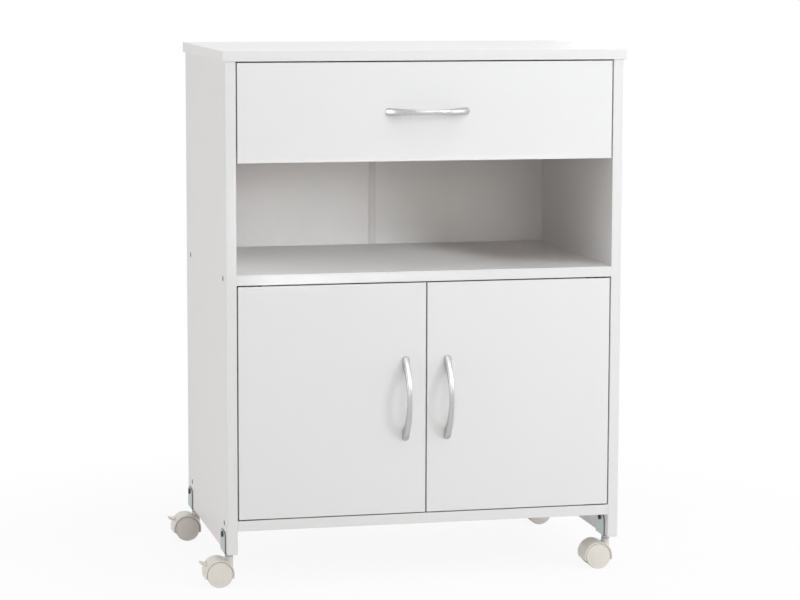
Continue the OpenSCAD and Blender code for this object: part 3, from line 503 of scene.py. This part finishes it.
# Each begins with its name, its colour, the colour that it drifts to and its roughness
FINISHES: dict[str, Skin | Metal | Beech] = {
    "melamine": Skin("White melamine", (0.92, 0.917, 0.914), (0.88, 0.876, 0.872), 0.38),
    "edge_band": Skin("Edge band", (0.90, 0.897, 0.89), (0.86, 0.855, 0.845), 0.30, speck=0.15,
                      peel_scale=240.0, peel_depth=0.02 * MM),
    "hardboard": Skin("Printed hardboard", (0.91, 0.905, 0.90), (0.86, 0.853, 0.847), 0.5, peel_scale=420.0,
                      peel_depth=0.05 * MM),
    "bare_hardboard": Skin("Bare hardboard", (0.34, 0.21, 0.115), (0.22, 0.13, 0.065), 0.72,
                           cloud_scale=14.0, speck=0.7, speck_scale=1100.0, peel_scale=900.0,
                           peel_depth=0.12 * MM),
    "strip_plastic": Skin("Joining strip", (0.80, 0.79, 0.785), (0.74, 0.73, 0.72), 0.35),
    "white_steel": Skin("Powder coat", (0.80, 0.80, 0.81), (0.74, 0.74, 0.75), 0.38, peel_scale=1100.0),
    "nylon": Skin("Natural nylon", (0.80, 0.79, 0.75), (0.70, 0.69, 0.65), 0.40, speck_scale=500.0),
    "black_nylon": Skin("Black nylon", (0.045, 0.045, 0.048), (0.07, 0.07, 0.073), 0.42, speck_scale=500.0),
    "castor_plastic": Skin("Ivory plastic", (0.91, 0.865, 0.805), (0.83, 0.775, 0.70), 0.34,
                           cloud_scale=30.0, peel_scale=1500.0, peel_depth=0.02 * MM, coat=0.15),
    # The wheels' running surface is darker than their faces
    "wheel_tread": Skin("Darker tread", (0.74, 0.70, 0.65), (0.56, 0.52, 0.46), 0.55, cloud=0.9,
                        cloud_scale=60.0, speck=0.5, speck_scale=1400.0, peel_scale=1200.0,
                        peel_depth=0.05 * MM),
    "magnet": Skin("Ferrite", (0.05, 0.05, 0.055), (0.09, 0.09, 0.095), 0.55, speck=0.8, speck_scale=1500.0),
    "satin_metal": Metal("Satin nickel", (0.55, 0.545, 0.54), (0.48, 0.476, 0.472), 0.20, 0.08,
                         line_scale=900.0),
    "zinc_steel": Metal("Zinc plate", (0.44, 0.51, 0.487), (0.35, 0.41, 0.392), 0.34, 0.12,
                        stretch=(1.0, 0.06, 1.0), line_scale=1200.0),
    # Near-black steel on the clasps' cut edges is painted shade
    "painted_shade_edge_steel": Metal("Painted shade edge", (0.12, 0.13, 0.125), (0.20, 0.21, 0.205), 0.45, 0.15,
                           stretch=(0.1, 1.0, 1.0), line_scale=2200.0),
    "dark_steel": Metal("Dark screw steel", (0.05, 0.052, 0.052), (0.09, 0.093, 0.092), 0.52, 0.12),
    "beech": Beech("Beech", (0.62, 0.43, 0.25), (0.50, 0.32, 0.17), (0.33, 0.19, 0.10)),
}

# Nodes that look unlike the rest of their slot
LOOKS = {
    "bracket_screws": "dark_steel",
    "left_pivot_plates": "dark_steel",
    "right_pivot_plates": "dark_steel",
    "pivot_bushes": "black_nylon",
}


# Meshes


def linked(name: str, data: bpy.types.ID) -> bpy.types.Object:
    """Makes an object and links it to the scene.

    Args:
        name: the object's name.
        data: its mesh, light or camera.

    Returns:
        The object.
    """
    thing = bpy.data.objects.new(name, data)
    bpy.context.scene.collection.objects.link(thing)
    return thing


def lattice(name: str, points: np.ndarray, ring: bool = True, loop: bool = False,
            caps: bool = False) -> bpy.types.Object:
    """Makes a quad mesh from a grid of points.

    Vertex (i, j) is number i * n + j. Face (i, j) joins it with its neighbours at i + 1 and j + 1.

    Args:
        name: the object's name.
        points: array of shape (m, n, 3), in metres.
        ring: whether the second direction closes on itself.
        loop: whether the first direction closes on itself.
        caps: whether the first and the last row are closed with a polygon.

    Returns:
        The object, linked to the scene, with smooth faces and its sharp edges marked.
    """
    rows, columns = points.shape[:2]
    i = np.arange(rows if loop else rows - 1)[:, None]
    j = np.arange(columns if ring else columns - 1)[None, :]
    after_i, after_j = (i + 1) % rows, (j + 1) % columns
    corners = (i * columns + j, i * columns + after_j, after_i * columns + after_j, after_i * columns + j)
    faces = np.stack(np.broadcast_arrays(*corners), axis=-1).reshape(-1, len(corners)).tolist()
    if caps:
        faces.append(list(range(columns))[::-1])
        faces.append(list(range((rows - 1) * columns, rows * columns)))
    mesh = bpy.data.meshes.new(name)
    mesh.from_pydata(points.reshape(-1, 3).tolist(), [], faces)
    return finish_mesh(name, mesh)


def finish_mesh(name: str, mesh: bpy.types.Mesh) -> bpy.types.Object:
    """Closes poles, turns the faces outwards, smooths them and marks the sharp edges.

    Args:
        name: the object's name.
        mesh: the mesh to finish.

    Returns:
        The object, linked to the scene.
    """
    work = bmesh.new()
    work.from_mesh(mesh)
    bmesh.ops.remove_doubles(work, verts=work.verts, dist=WELD)
    bmesh.ops.recalc_face_normals(work, faces=work.faces)
    work.to_mesh(mesh)
    work.free()
    mesh.polygons.foreach_set("use_smooth", np.ones(len(mesh.polygons), dtype=bool))
    mesh.set_sharp_from_angle(angle=SHARP_PAST)
    return linked(name, mesh)


def revolved(name: str, profile: np.ndarray, centre: np.ndarray, turns: int) -> bpy.types.Object:
    """Turns a profile about an axis along Y through centre.

    Point (i, j) is centre + (r_j cos a_i, s_j, r_j sin a_i), where r and s are the profile's columns.

    Args:
        name: the object's name.
        profile: array of shape (n, 2): distance from the axis, and place along +Y.
        centre: a point on the axis.
        turns: number of steps round the axis.

    Returns:
        The object.
    """
    angle = np.linspace(0.0, 2 * np.pi, turns, endpoint=False)[:, None]
    radius, along = profile[None, :, 0], profile[None, :, 1]
    points = np.stack(np.broadcast_arrays(radius * np.cos(angle), along, radius * np.sin(angle)), axis=-1)
    return lattice(name, points + centre, ring=False, loop=True)


def joined(name: str, parts: list[bpy.types.Object]) -> bpy.types.Object:
    """Joins objects that all sit at the origin into one.

    Args:
        name: the new object's name.
        parts: the objects, which are removed.

    Returns:
        The joined object.
    """
    work = bmesh.new()
    for part in parts:
        work.from_mesh(part.data)
    mesh = bpy.data.meshes.new(name)
    work.to_mesh(mesh)
    work.free()
    for part in parts:
        old = part.data
        bpy.data.objects.remove(part)
        bpy.data.meshes.remove(old)
    mesh.set_sharp_from_angle(angle=SHARP_PAST)
    return linked(name, mesh)


def softened(name: str, node: str, width: float, shortest: float, steepest: float = 60.0) -> bpy.types.Object:
    """Copies a node and rounds its long sharp edges with a narrow bevel.

    Curved walls and the bevels are smooth, and flat faces stay flat, so that no shading runs over them.

    Args:
        name: the new piece's name.
        node: the node to copy.
        width: width of the bevel.
        shortest: length from which a sharp edge is rounded.
        steepest: angle in degrees past which an edge counts as sharp.

    Returns:
        The copy, linked to the scene.
    """
    work = bmesh.new()
    work.from_mesh(frame["nodes"][node].data)
    bmesh.ops.remove_doubles(work, verts=work.verts, dist=WELD)
    bmesh.ops.dissolve_limit(work, angle_limit=JOIN_WITHIN, verts=work.verts, edges=work.edges)
    for face in work.faces:
        bent = any(LEVEL_WITHIN < edge.calc_face_angle(0.0) < SHARP_PAST for edge in face.edges)
        face.smooth = bent and face.calc_area() < BROAD
    flat = np.array([face.normal[:] for face in work.faces if not face.smooth])
    flat = np.unique(np.round(flat, DIRECTION_DIGITS), axis=0)
    sharp = [edge for edge in work.edges
             if edge.calc_face_angle(0.0) > math.radians(steepest) and edge.calc_length() > shortest]
    bmesh.ops.bevel(work, geom=sharp, offset=width, offset_type="OFFSET", segments=ROUNDING_STEPS,
                    profile=ROUNDING_PROFILE, affect="EDGES", clamp_overlap=True)
    work.normal_update()
    along = (np.array([face.normal[:] for face in work.faces]) @ flat.T).max(axis=1)
    curved = np.array([face.smooth for face in work.faces]) | (along < math.cos(LEVEL_WITHIN))
    mesh = bpy.data.meshes.new(name)
    work.to_mesh(mesh)
    work.free()
    mesh.set_sharp_from_angle(angle=SHARP_PAST)
    # The faces are set after the sharp edges, because that call makes every face smooth
    mesh.polygons.foreach_set("use_smooth", curved)
    return linked(name, mesh)


# Dressing


# A trim picks faces of a piece: it takes the faces' normals and centres, and returns a mask.
Trim = Callable[[np.ndarray, np.ndarray], np.ndarray]


@dataclass(frozen=True)
class BandedEdges:
    """Trim of the narrow outer faces of a board."""

    thickness: Axis
    across: float = 0.5
    reach: float = 1.2 * MM

    def __call__(self, normals: np.ndarray, centres: np.ndarray) -> np.ndarray:
        """Picks the faces on the board's outline whose normal lies mostly across its thickness.

        Args:
            normals: the faces' normals.
            centres: the faces' centres.

        Returns:
            The mask of the picked faces.
        """
        others = [axis.value for axis in Axis if axis is not self.thickness]
        gap = np.minimum(centres - centres.min(axis=0), centres.max(axis=0) - centres)[:, others]
        return (np.abs(normals[:, self.thickness]) < self.across) & (gap.min(axis=1) < self.reach)


@dataclass(frozen=True)
class BareSide:
    """Trim of a hardboard sheet's unprinted faces."""

    axis: Axis
    printed: int
    facing: float = 0.5

    def __call__(self, normals: np.ndarray, centres: np.ndarray) -> np.ndarray:
        """Picks the faces that don't look to the printed side, which is +1 or -1 on the axis."""
        return self.printed * normals[:, self.axis] < self.facing


@dataclass(frozen=True)
class PaintedShadeEdges:
    """Trim of the cut edges of a bent steel strip, which are coloured dark as painted shade."""

    foot: float = 3 * MM
    sideways: float = 0.6
    level: float = 0.8

    def __call__(self, normals: np.ndarray, centres: np.ndarray) -> np.ndarray:
        """Picks the faces that look neither along X nor, at the strip's foot, straight up or down.

        Args:
            normals: the faces' normals.
            centres: the faces' centres.

        Returns:
            The mask of the picked faces.
        """
        height = centres[:, Axis.Z]
        foot = height < height.min() + self.foot
        level = np.abs(normals[:, Axis.Z]) > self.level
        return (np.abs(normals[:, Axis.X]) < self.sideways) & ~(foot & level)


@dataclass(frozen=True)
class Tread:
    """Trim of a wheel's running surface, on an axle along Y."""

    radius: float
    depth: float

    def __call__(self, normals: np.ndarray, centres: np.ndarray) -> np.ndarray:
        """Picks the faces that lie near the tread's radius.

        Args:
            normals: the faces' normals; not used.
            centres: the faces' centres.

        Returns:
            The mask of the picked faces.
        """
        away = centres - (centres.max(axis=0) + centres.min(axis=0)) / 2
        return np.hypot(away[:, Axis.X], away[:, Axis.Z]) > self.radius - self.depth


class Dresser:
    """Puts finishes on pieces and nodes and ties the pieces to the frame."""

    def __init__(self) -> None:
        """Builds the effects and every finish."""
        effects = Effects()
        self.materials = {slot: finish.build(effects) for slot, finish in FINISHES.items()}
        self.slots = {part["node"]: part["material_slot"] for part in frame["record"]["subparts"]}
        self.dressed: set[str] = set()

    def piece(self, thing: bpy.types.Object, body: str, node: str,
              trims: dict[str, Trim] | None = None) -> None:
        """Lets a new piece stand for a node on its body, in the finish of that node.

        Args:
            thing: the piece.
            body: the body that it rides on.
            node: the node that it replaces.
            trims: finishes of parts of it, each with the trim that picks its faces.
        """
        slot = self.slots[node]
        self.paint(thing.data, self.materials[slot])
        if trims:
            self.trim(thing.data, trims)
        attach(thing, body)
        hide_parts(node)
        self.dressed.add(node)
        LOG.info("%s stands for %s on %s", thing.name, node, body)

    def paint(self, mesh: bpy.types.Mesh, material: bpy.types.Material) -> None:
        """Leaves a mesh with one material."""
        mesh.materials.clear()
        mesh.materials.append(material)

    def trim(self, mesh: bpy.types.Mesh, trims: dict[str, Trim]) -> None:
        """Puts further finishes on the faces that the trims pick.

        Args:
            mesh: the piece's mesh, with its first finish.
            trims: each further finish and its trim.
        """
        count = len(mesh.polygons)
        normals, centres = np.empty((count, 3), np.float32), np.empty((count, 3), np.float32)
        mesh.polygons.foreach_get("normal", normals.ravel())
        mesh.polygons.foreach_get("center", centres.ravel())
        index = np.zeros(count, np.int32)
        for number, (slot, pick) in enumerate(trims.items(), start=1):
            mesh.materials.append(self.materials[slot])
            index[pick(normals, centres)] = number
        mesh.polygons.foreach_set("material_index", index)

    def carry_over(self) -> None:
        """Gives each node that nothing stands for its own look, or else the finish of its slot."""
        for node, thing in frame["nodes"].items():
            if node in self.dressed:
                continue
            self.paint(thing.data, self.materials[LOOKS.get(node, self.slots[node])])
            LOG.info("%s keeps its own shape", node)


# The cabinet


@dataclass
class BowHandle:
    """A bow handle of satin nickel, which stands on a front board."""

    length: float = 126 * MM
    reach: float = 30 * MM
    foot: float = 18 * MM
    middle_width: float = 7 * MM
    end_width: float = 11.4 * MM
    widening: float = 1.5
    middle_thickness: float = 5.5 * MM
    below: float = 8 * MM
    tip: float = 4.5 * MM
    power: float = 3.2
    rings: int = 121
    sides: int = 48

    def arc(self, x: np.ndarray, half: float, rise: float) -> np.ndarray:
        """Height of a circular arc over its chord: sqrt(r^2 - x^2) - r + rise, with r from both sizes.

        Args:
            x: distances from the arc's middle.
            half: half of the chord.
            rise: height of the arc's middle.

        Returns:
            The heights, and -r + rise outside the circle.
        """
        radius = (half * half + rise * rise) / (2 * rise)
        inside = np.sqrt(np.maximum(radius * radius - x * x, 0.0))
        return inside - radius + rise

    def surface(self) -> np.ndarray:
        """Points of the bow, along X and reaching to -Y from the plane y = 0.

        Each section is a superellipse of the given power between an outer and an inner arc. Its width
        grows from the middle to the ends with the distance to the power of the widening, and each end is
        rounded by a quarter ellipse in plan. What would lie deeper in the board than SEAT is laid flat there.

        Returns:
            Array of shape (rings, sides, 3).
        """
        half = self.length / 2
        turn = np.linspace(-np.pi / 2, np.pi / 2, self.rings + 2)[1:-1, None]
        x = half * np.sin(turn)
        outer = self.arc(x, half, self.reach)
        inner = np.maximum(self.arc(x, half - self.foot, self.reach - self.middle_thickness), -self.below)
        share = (np.abs(x) / half) ** self.widening
        width = self.middle_width + (self.end_width - self.middle_width) * share
        past = np.clip((np.abs(x) - half + self.tip) / self.tip, 0.0, 1.0)
        width = width * np.sqrt(1.0 - past * past)
        angle = np.linspace(0.0, 2 * np.pi, self.sides, endpoint=False)[None, :]
        cosine, sine = np.cos(angle), np.sin(angle)
        deep = np.sign(cosine) * np.abs(cosine) ** (2 / self.power)
        wide = np.sign(sine) * np.abs(sine) ** (2 / self.power)
        y = np.minimum(-(outer + inner) / 2 - (outer - inner) / 2 * deep, SEAT)
        z = width / 2 * wide
        return np.stack(np.broadcast_arrays(x, y, z), axis=-1)

    def build(self, name: str, node: str, upright: bool) -> bpy.types.Object:
        """Builds a handle in the place of its node.

        Args:
            name: the piece's name.
            node: the handle's node.
            upright: whether it stands upright, as on a door.

        Returns:
            The handle.
        """
        low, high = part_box(node)
        middle = np.array([(low.x + high.x) / 2, high.y, (low.z + high.z) / 2])
        points = self.surface()
        if upright:
            points = points[..., [Axis.Z, Axis.Y, Axis.X]]
        return lattice(name, points + middle, caps=True)


@dataclass
class Boards:
    """How boards of one kind are finished at their edges."""

    easing: float = 0.5 * MM
    shortest: float = 12 * MM

    def build(self, dresser: Dresser, body: str, node: str, name: str, thickness: Axis) -> None:
        """Replaces a board with a copy that has eased and banded edges.

        Args:
            dresser: puts on the finishes.
            body: the body that the board rides on.
            node: the board's node.
            name: the piece's name.
            thickness: the axis along the board's thickness.
        """
        dresser.piece(softened(name, node, self.easing, self.shortest), body, node,
                      {"edge_band": BandedEdges(thickness)})


@dataclass
class Carcass:
    """Boards, back and castor clasps of the fixed cabinet."""

    boards: Boards = field(default_factory=Boards)
    thin_easing: float = 0.25 * MM
    strip_edge: float = 12 * MM
    clasp_edge: float = 1.2 * MM

    def dress(self, dresser: Dresser) -> None:
        """Eases and bands the boards, and dresses the back and the clasps.

        Args:
            dresser: puts on the finishes.
        """
        for node, name, axis in (("top_panel", "top_board", Axis.Z), ("left_side_panel", "left_side", Axis.X),
                                 ("right_side_panel", "right_side", Axis.X),
                                 ("fixed_shelf", "shelf_board", Axis.Z),
                                 ("bottom_panel", "bottom_board", Axis.Z)):
            self.boards.build(dresser, "cabinet", node, name, axis)
        for node, name in (("left_back_panel", "left_back"), ("right_back_panel", "right_back")):
            dresser.piece(softened(name, node, self.thin_easing, self.strip_edge), "cabinet", node,
                          {"bare_hardboard": BareSide(Axis.Y, printed=-1)})
        dresser.piece(softened("joining_strip", "back_joint_strip", self.thin_easing, self.strip_edge),
                      "cabinet", "back_joint_strip")
        # The clasps' cut edges are coloured dark as painted shade
        dresser.piece(softened("castor_clasps", "castor_brackets", self.thin_easing, self.clasp_edge),
                      "cabinet", "castor_brackets", {"painted_shade_edge_steel": PaintedShadeEdges()})


@dataclass
class Drawer:
    """The drawer's boards, bottom and handle."""

    boards: Boards = field(default_factory=Boards)
    handle: BowHandle = field(default_factory=BowHandle)
    sheet_easing: float = 0.2 * MM

    def dress(self, dresser: Dresser) -> None:
        """Eases and bands the boards, and builds the handle.

        Args:
            dresser: puts on the finishes.
        """
        for node, name, axis in (("drawer_front", "drawer_face", Axis.Y),
                                 ("drawer_left_side", "drawer_left_board", Axis.X),
                                 ("drawer_right_side", "drawer_right_board", Axis.X),
                                 ("drawer_back", "drawer_rear_board", Axis.Y)):
            self.boards.build(dresser, "drawer", node, name, axis)
        dresser.piece(softened("drawer_sheet", "drawer_bottom", self.sheet_easing, self.boards.shortest),
                      "drawer", "drawer_bottom", {"bare_hardboard": BareSide(Axis.Z, printed=1)})
        dresser.piece(self.handle.build("drawer_bow", "drawer_handle", False), "drawer", "drawer_handle")


@dataclass
class Door:
    """A door with its handle."""

    side: Side
    boards: Boards = field(default_factory=lambda: Boards(easing=0.4 * MM, shortest=10 * MM))
    handle: BowHandle = field(default_factory=BowHandle)

    def dress(self, dresser: Dresser) -> None:
        """Eases and bands the door, and builds its handle.

        Args:
            dresser: puts on the finishes.
        """
        word = self.side.value
        body = f"{word}_door"
        self.boards.build(dresser, body, body, f"{word}_door_board", Axis.Y)
        handle = self.handle.build(f"{word}_bow", f"{word}_door_handle", True)
        dresser.piece(handle, body, f"{word}_door_handle")


@dataclass
class Castor:
    """A twin-wheel castor: hood, two wheels on one axle and, where it has one, a brake lever."""

    corner: Corner
    wheel_radius: float = 19 * MM
    wheel_width: float = 11.6 * MM
    width: float = 39 * MM
    hub_radius: float = 5 * MM
    bore_radius: float = 2.55 * MM
    bore_end: float = 16.8 * MM
    hub_start: float = 2.3 * MM
    rim: float = 3 * MM
    disc: float = 2.6 * MM
    dome: float = 0.8 * MM
    face_radius: float = 7.6 * MM
    shoulder: float = 1.5 * MM
    groove_at: float = 3.2 * MM
    groove_half: float = 0.8 * MM
    groove_depth: float = 0.45 * MM
    tread_depth: float = 0.5 * MM
    hood_easing: float = 0.35 * MM
    lever_easing: float = 0.3 * MM
    shortest: float = 0.5 * MM
    steepest: float = 50.0
    turns: int = 96
    face_points: int = 40
    shoulder_points: int = 6

    def profile(self) -> np.ndarray:
        """Half section of the outer wheel, from the axis over the face and the tread to the axis again.

        The face is a cosine dome round the hub with a cosine groove near its rim, the tread's two shoulders
        are quarter circles, and the hollow inside follows the rim, the disc, the hub and the axle's bore.

        Returns:
            Array of shape (n, 2): distance from the axis, and place along it from the castor's middle.
        """
        radius, outer = self.wheel_radius, self.width / 2
        inner = outer - self.wheel_width
        r = np.linspace(0.0, radius - self.shoulder, self.face_points)
        share = np.clip((r - self.face_radius) / (radius - self.rim - self.face_radius), 0.0, 1.0)
        rise = self.dome * (1 + np.cos(np.pi * share)) / 2
        off = np.clip(np.abs(r - (radius - self.groove_at)) / self.groove_half, 0.0, 1.0)
        face = np.stack([r, outer + rise - self.groove_depth * (1 + np.cos(np.pi * off)) / 2], axis=-1)
        turn = np.linspace(np.pi / 2, 0.0, self.shoulder_points + 1)[1:]
        back = self.shoulder * (1 - np.stack([np.cos(turn), np.sin(turn)], axis=-1))
        high = np.array([radius, outer]) - back
        low = np.array([radius, inner]) + back[::-1] * np.array([-1.0, 1.0])
        foot = np.array([
            [radius - self.shoulder, inner],
            [radius - self.rim, inner],
            [radius - self.rim, outer - self.disc],
            [self.hub_radius, outer - self.disc - self.dome],
            [self.hub_radius, self.hub_start],
            [self.bore_radius, self.hub_start],
            [self.bore_radius, self.bore_end],
            [0.0, self.bore_end]])
        return np.concatenate([face, high, low, foot])

    def wheels(self) -> bpy.types.Object:
        """Builds the two wheels, one the mirror image of the other.

        Returns:
            The pair as one object.
        """
        low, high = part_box(f"{self.corner.value}_wheels")
        axle = (np.array(low) + np.array(high)) / 2
        profile = self.profile()
        mirrored = profile * np.array([1.0, -1.0])
        name = f"{self.corner.value}_wheel"
        return joined(f"{name}_pair", [revolved(f"{name}_a", profile, axle, self.turns),
                                       revolved(f"{name}_b", mirrored, axle, self.turns)])

    def dress(self, dresser: Dresser) -> None:
        """Builds the castor's pieces.

        Args:
            dresser: puts on the finishes.
        """
        word = self.corner.value
        hood = softened(f"{word}_cover", f"{word}_hood", self.hood_easing, self.shortest, self.steepest)
        dresser.piece(hood, f"{word}_castor", f"{word}_hood")
        dresser.piece(self.wheels(), f"{word}_wheel_pair", f"{word}_wheels",
                      {"wheel_tread": Tread(self.wheel_radius, self.tread_depth)})
        lever = f"{word}_lever"
        if lever in frame["nodes"]:
            pedal = softened(f"{word}_pedal", lever, self.lever_easing, self.shortest, self.steepest)
            dresser.piece(pedal, f"{word}_brake", lever)


# Studio


@dataclass
class Camera:
    """The photograph's view, fitted to the cabinet's edges: angles in radians, sensor in millimetres."""

    offset: Point = (-0.610021, -3.73139, 0.86821)
    yaw: float = 0.22797
    pitch: float = 0.13000
    roll: float = 0.0030
    focal_pixels: float = 2652.26
    frame_pixels: int = 800
    sensor: float = 36.0

    def place(self) -> Point:
        """The camera's place, measured from the left side panel's outer, front and lower faces."""
        return tuple(np.array(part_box("left_side_panel")[0]) + self.offset)

    def build(self) -> None:
        """Makes the camera from its yaw from +Y to +X, its pitch downwards and its roll."""
        ahead = np.array([math.sin(self.yaw), math.cos(self.yaw), 0.0])
        right = np.array([math.cos(self.yaw), -math.sin(self.yaw), 0.0])
        up = np.array([0.0, 0.0, 1.0])
        look = math.cos(self.pitch) * ahead - math.sin(self.pitch) * up
        over = math.sin(self.pitch) * ahead + math.cos(self.pitch) * up
        across = math.cos(self.roll) * right + math.sin(self.roll) * over
        above = -math.sin(self.roll) * right + math.cos(self.roll) * over
        data = bpy.data.cameras.new("Photo camera")
        data.sensor_width = self.sensor
        data.lens = self.focal_pixels / self.frame_pixels * self.sensor
        thing = linked("Photo camera", data)
        axes = Matrix([list(across), list(above), list(-look)]).transposed().to_4x4()
        thing.matrix_world = Matrix.Translation(self.place()) @ axes
        bpy.context.scene.camera = thing


@dataclass(frozen=True)
class Lamp:
    """A soft lamp that looks at the cabinet's middle, or at another target.

    Its place is given by its compass angle from the front towards the right, its height angle, its
    distance and how far it is lifted. Its share is the light that it casts on a face turned to it, where 1
    is plain daylight white. Its slimness is its width over its height. A narrow spread is that of a grid in
    front of the lamp. Angles are in degrees.
    """

    name: str
    compass: float
    height: float
    distance: float
    size: float
    share: float
    lift: float = 0.0
    colour: Colour = WHITE
    target: Point = (0.017, 0.015, 0.42)
    slimness: float = 1.0
    spread: float = 180.0
    watts_for_white: float = 0.6 * math.pi ** 2

    def build(self) -> None:
        """Makes the lamp, turned to its target."""
        across, up = math.radians(self.compass), math.radians(self.height)
        ray = np.array([math.sin(across) * math.cos(up), -math.cos(across) * math.cos(up), math.sin(up)])
        target = np.array(self.target)
        place = target + self.distance * ray + np.array([0.0, 0.0, self.lift])
        data = bpy.data.lights.new(self.name, "AREA")
        data.shape = "RECTANGLE"
        data.size = self.size
        data.size_y = self.size / self.slimness
        data.spread = math.radians(self.spread)
        data.energy = self.share * self.watts_for_white * self.distance ** 2
        data.color = self.colour
        thing = linked(self.name, data)
        turned = Vector(target - place).to_track_quat("-Z", "Y").to_matrix().to_4x4()
        thing.matrix_world = Matrix.Translation(place) @ turned
        thing.visible_camera = False


@dataclass
class Studio:
    """Floor, world, lamps and camera."""

    floor_radius: float = 9.0
    floor_corners: int = 64
    floor_colour: Colour = (0.78, 0.755, 0.73)
    shadow_floor: Colour = (0.95, 0.95, 0.95)
    shadow_share: float = 0.10
    shadow_reach: float = 0.45
    shadow_end: float = 0.95
    world_strength: float = 0.345
    world_colour: Colour = (0.98, 0.99, 1.0)
    # Compass, height, distance, size, share, lift and colour of each lamp
    lamps: tuple[Lamp, ...] = (
        Lamp("Key", 40, 14, 2.4, 0.5, 0.285, 0.15, (0.945, 0.972, 1.0)),
        Lamp("High right", 22, 40, 2.2, 1.8, 0.43, 0.10, (0.965, 0.982, 1.0)),
        Lamp("Top", 8, 68, 2.2, 1.4, 0.14, colour=(0.97, 0.985, 1.0)),
        Lamp("Front", 0, 15, 2.6, 1.6, 0.13, 0.15, (0.97, 0.985, 1.0)),
        Lamp("Right", 72, 14, 2.4, 1.4, 0.24, 0.05, (0.97, 0.985, 1.0)),
        Lamp("Left", -80, 12, 2.4, 1.5, 0.33, colour=(1.0, 0.985, 0.975)),
        Lamp("Top rear", 180, 50, 2.6, 1.8, 0.26, colour=(0.965, 0.982, 1.0)),
        Lamp("Rear right", 140, 10, 2.6, 1.6, 0.22),
        Lamp("Opening right", 28, 3, 1.5, 0.42, 0.0021, colour=(0.90, 0.95, 1.0),
             target=(-0.01, -0.176, 0.542), slimness=4.2, spread=5.0),
        Lamp("Opening front", 0, 3, 1.5, 0.46, 0.0013, colour=(1.0, 0.955, 0.90),
             target=(0.017, -0.176, 0.546), slimness=4.8, spread=5.0),
        Lamp("Opening shelf", 14, 14, 1.5, 0.40, 0.0062, colour=(0.93, 0.96, 1.0),
             target=(-0.07, -0.02, 0.468), slimness=7.0, spread=3.5),
    )

    def floor(self) -> None:
        """Makes the pale floor.

        The camera sees it white, with a faint shadow round the object that fades out with the distance
        from its middle. Other rays see its warm colour, so the object is lit by its bounce.
        """
        angle = np.linspace(0.0, 2 * np.pi, self.floor_corners, endpoint=False)
        rim = np.stack([np.cos(angle), np.sin(angle), np.zeros_like(angle)], axis=-1) * self.floor_radius
        mesh = bpy.data.meshes.new("Floor")
        mesh.from_pydata(rim.tolist(), [], [list(range(len(rim)))])
        thing = linked("Floor", mesh)
        material = bpy.data.materials.new("Pale floor")
        material.use_nodes = True
        nodes = material.node_tree.nodes
        nodes.remove(nodes["Principled BSDF"])
        graph = Graph(material.node_tree)
        place = graph.add("TexCoord").outputs["Object"]
        away = graph.add("VectorMath", {0: place}, operation="LENGTH").outputs["Value"]
        share = graph.spread(away, self.shadow_reach, self.shadow_end, low=self.shadow_share, high=0.0)
        warm = graph.add("BsdfDiffuse", {"Color": rgba(self.floor_colour)})
        pale = graph.add("BsdfDiffuse", {"Color": rgba(self.shadow_floor)})
        glow = graph.add("Emission", {"Color": rgba(WHITE), "Strength": 1.0})
        both = graph.shaders(self.seen(graph), warm, graph.shaders(share, glow, pale))
        graph.feed(nodes["Material Output"].inputs["Surface"], both.outputs[0])
        mesh.materials.append(material)

    def seen(self, graph: Graph) -> bpy.types.NodeSocket:
        """1 for what the camera sees, also in gloss and through glass.

        Args:
            graph: the tree that it is added to.

        Returns:
            The socket of the value.
        """
        path = graph.add("LightPath")
        direct = graph.math("MAXIMUM", path.outputs["Is Camera Ray"], path.outputs["Is Glossy Ray"])
        return graph.math("MAXIMUM", direct, path.outputs["Is Transmission Ray"])

    def world(self) -> None:
        """Makes the world: white to the camera, while the lamps light the object."""
        world = bpy.data.worlds.new("Studio")
        world.use_nodes = True
        world.node_tree.nodes.clear()
        bpy.context.scene.world = world
        graph = Graph(world.node_tree)
        white = graph.add("Background", {"Color": rgba(WHITE), "Strength": 1.0})
        soft = graph.add("Background", {"Color": rgba(self.world_colour), "Strength": self.world_strength})
        graph.add("OutputWorld", {"Surface": graph.shaders(self.seen(graph), soft, white).outputs[0]})

    def build(self) -> None:
        """Makes the whole studio."""
        self.floor()
        self.world()
        for lamp in self.lamps:
            lamp.build()
            LOG.info("lamp %s", lamp.name)
        Camera().build()
        bpy.context.scene.view_settings.view_transform = "Standard"


def main() -> None:
    """Builds the studio and dresses the cabinet, piece by piece."""
    logging.basicConfig(level=logging.INFO, format="%(name)s: %(message)s")
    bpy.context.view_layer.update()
    Studio().build()
    dresser = Dresser()
    doors = [Door(side) for side in Side]
    castors = [Castor(corner) for corner in Corner]
    for part in (Carcass(), Drawer(), *doors, *castors):
        part.dress(dresser)
    dresser.carry_over()


if __name__ == "__main__":
    main()
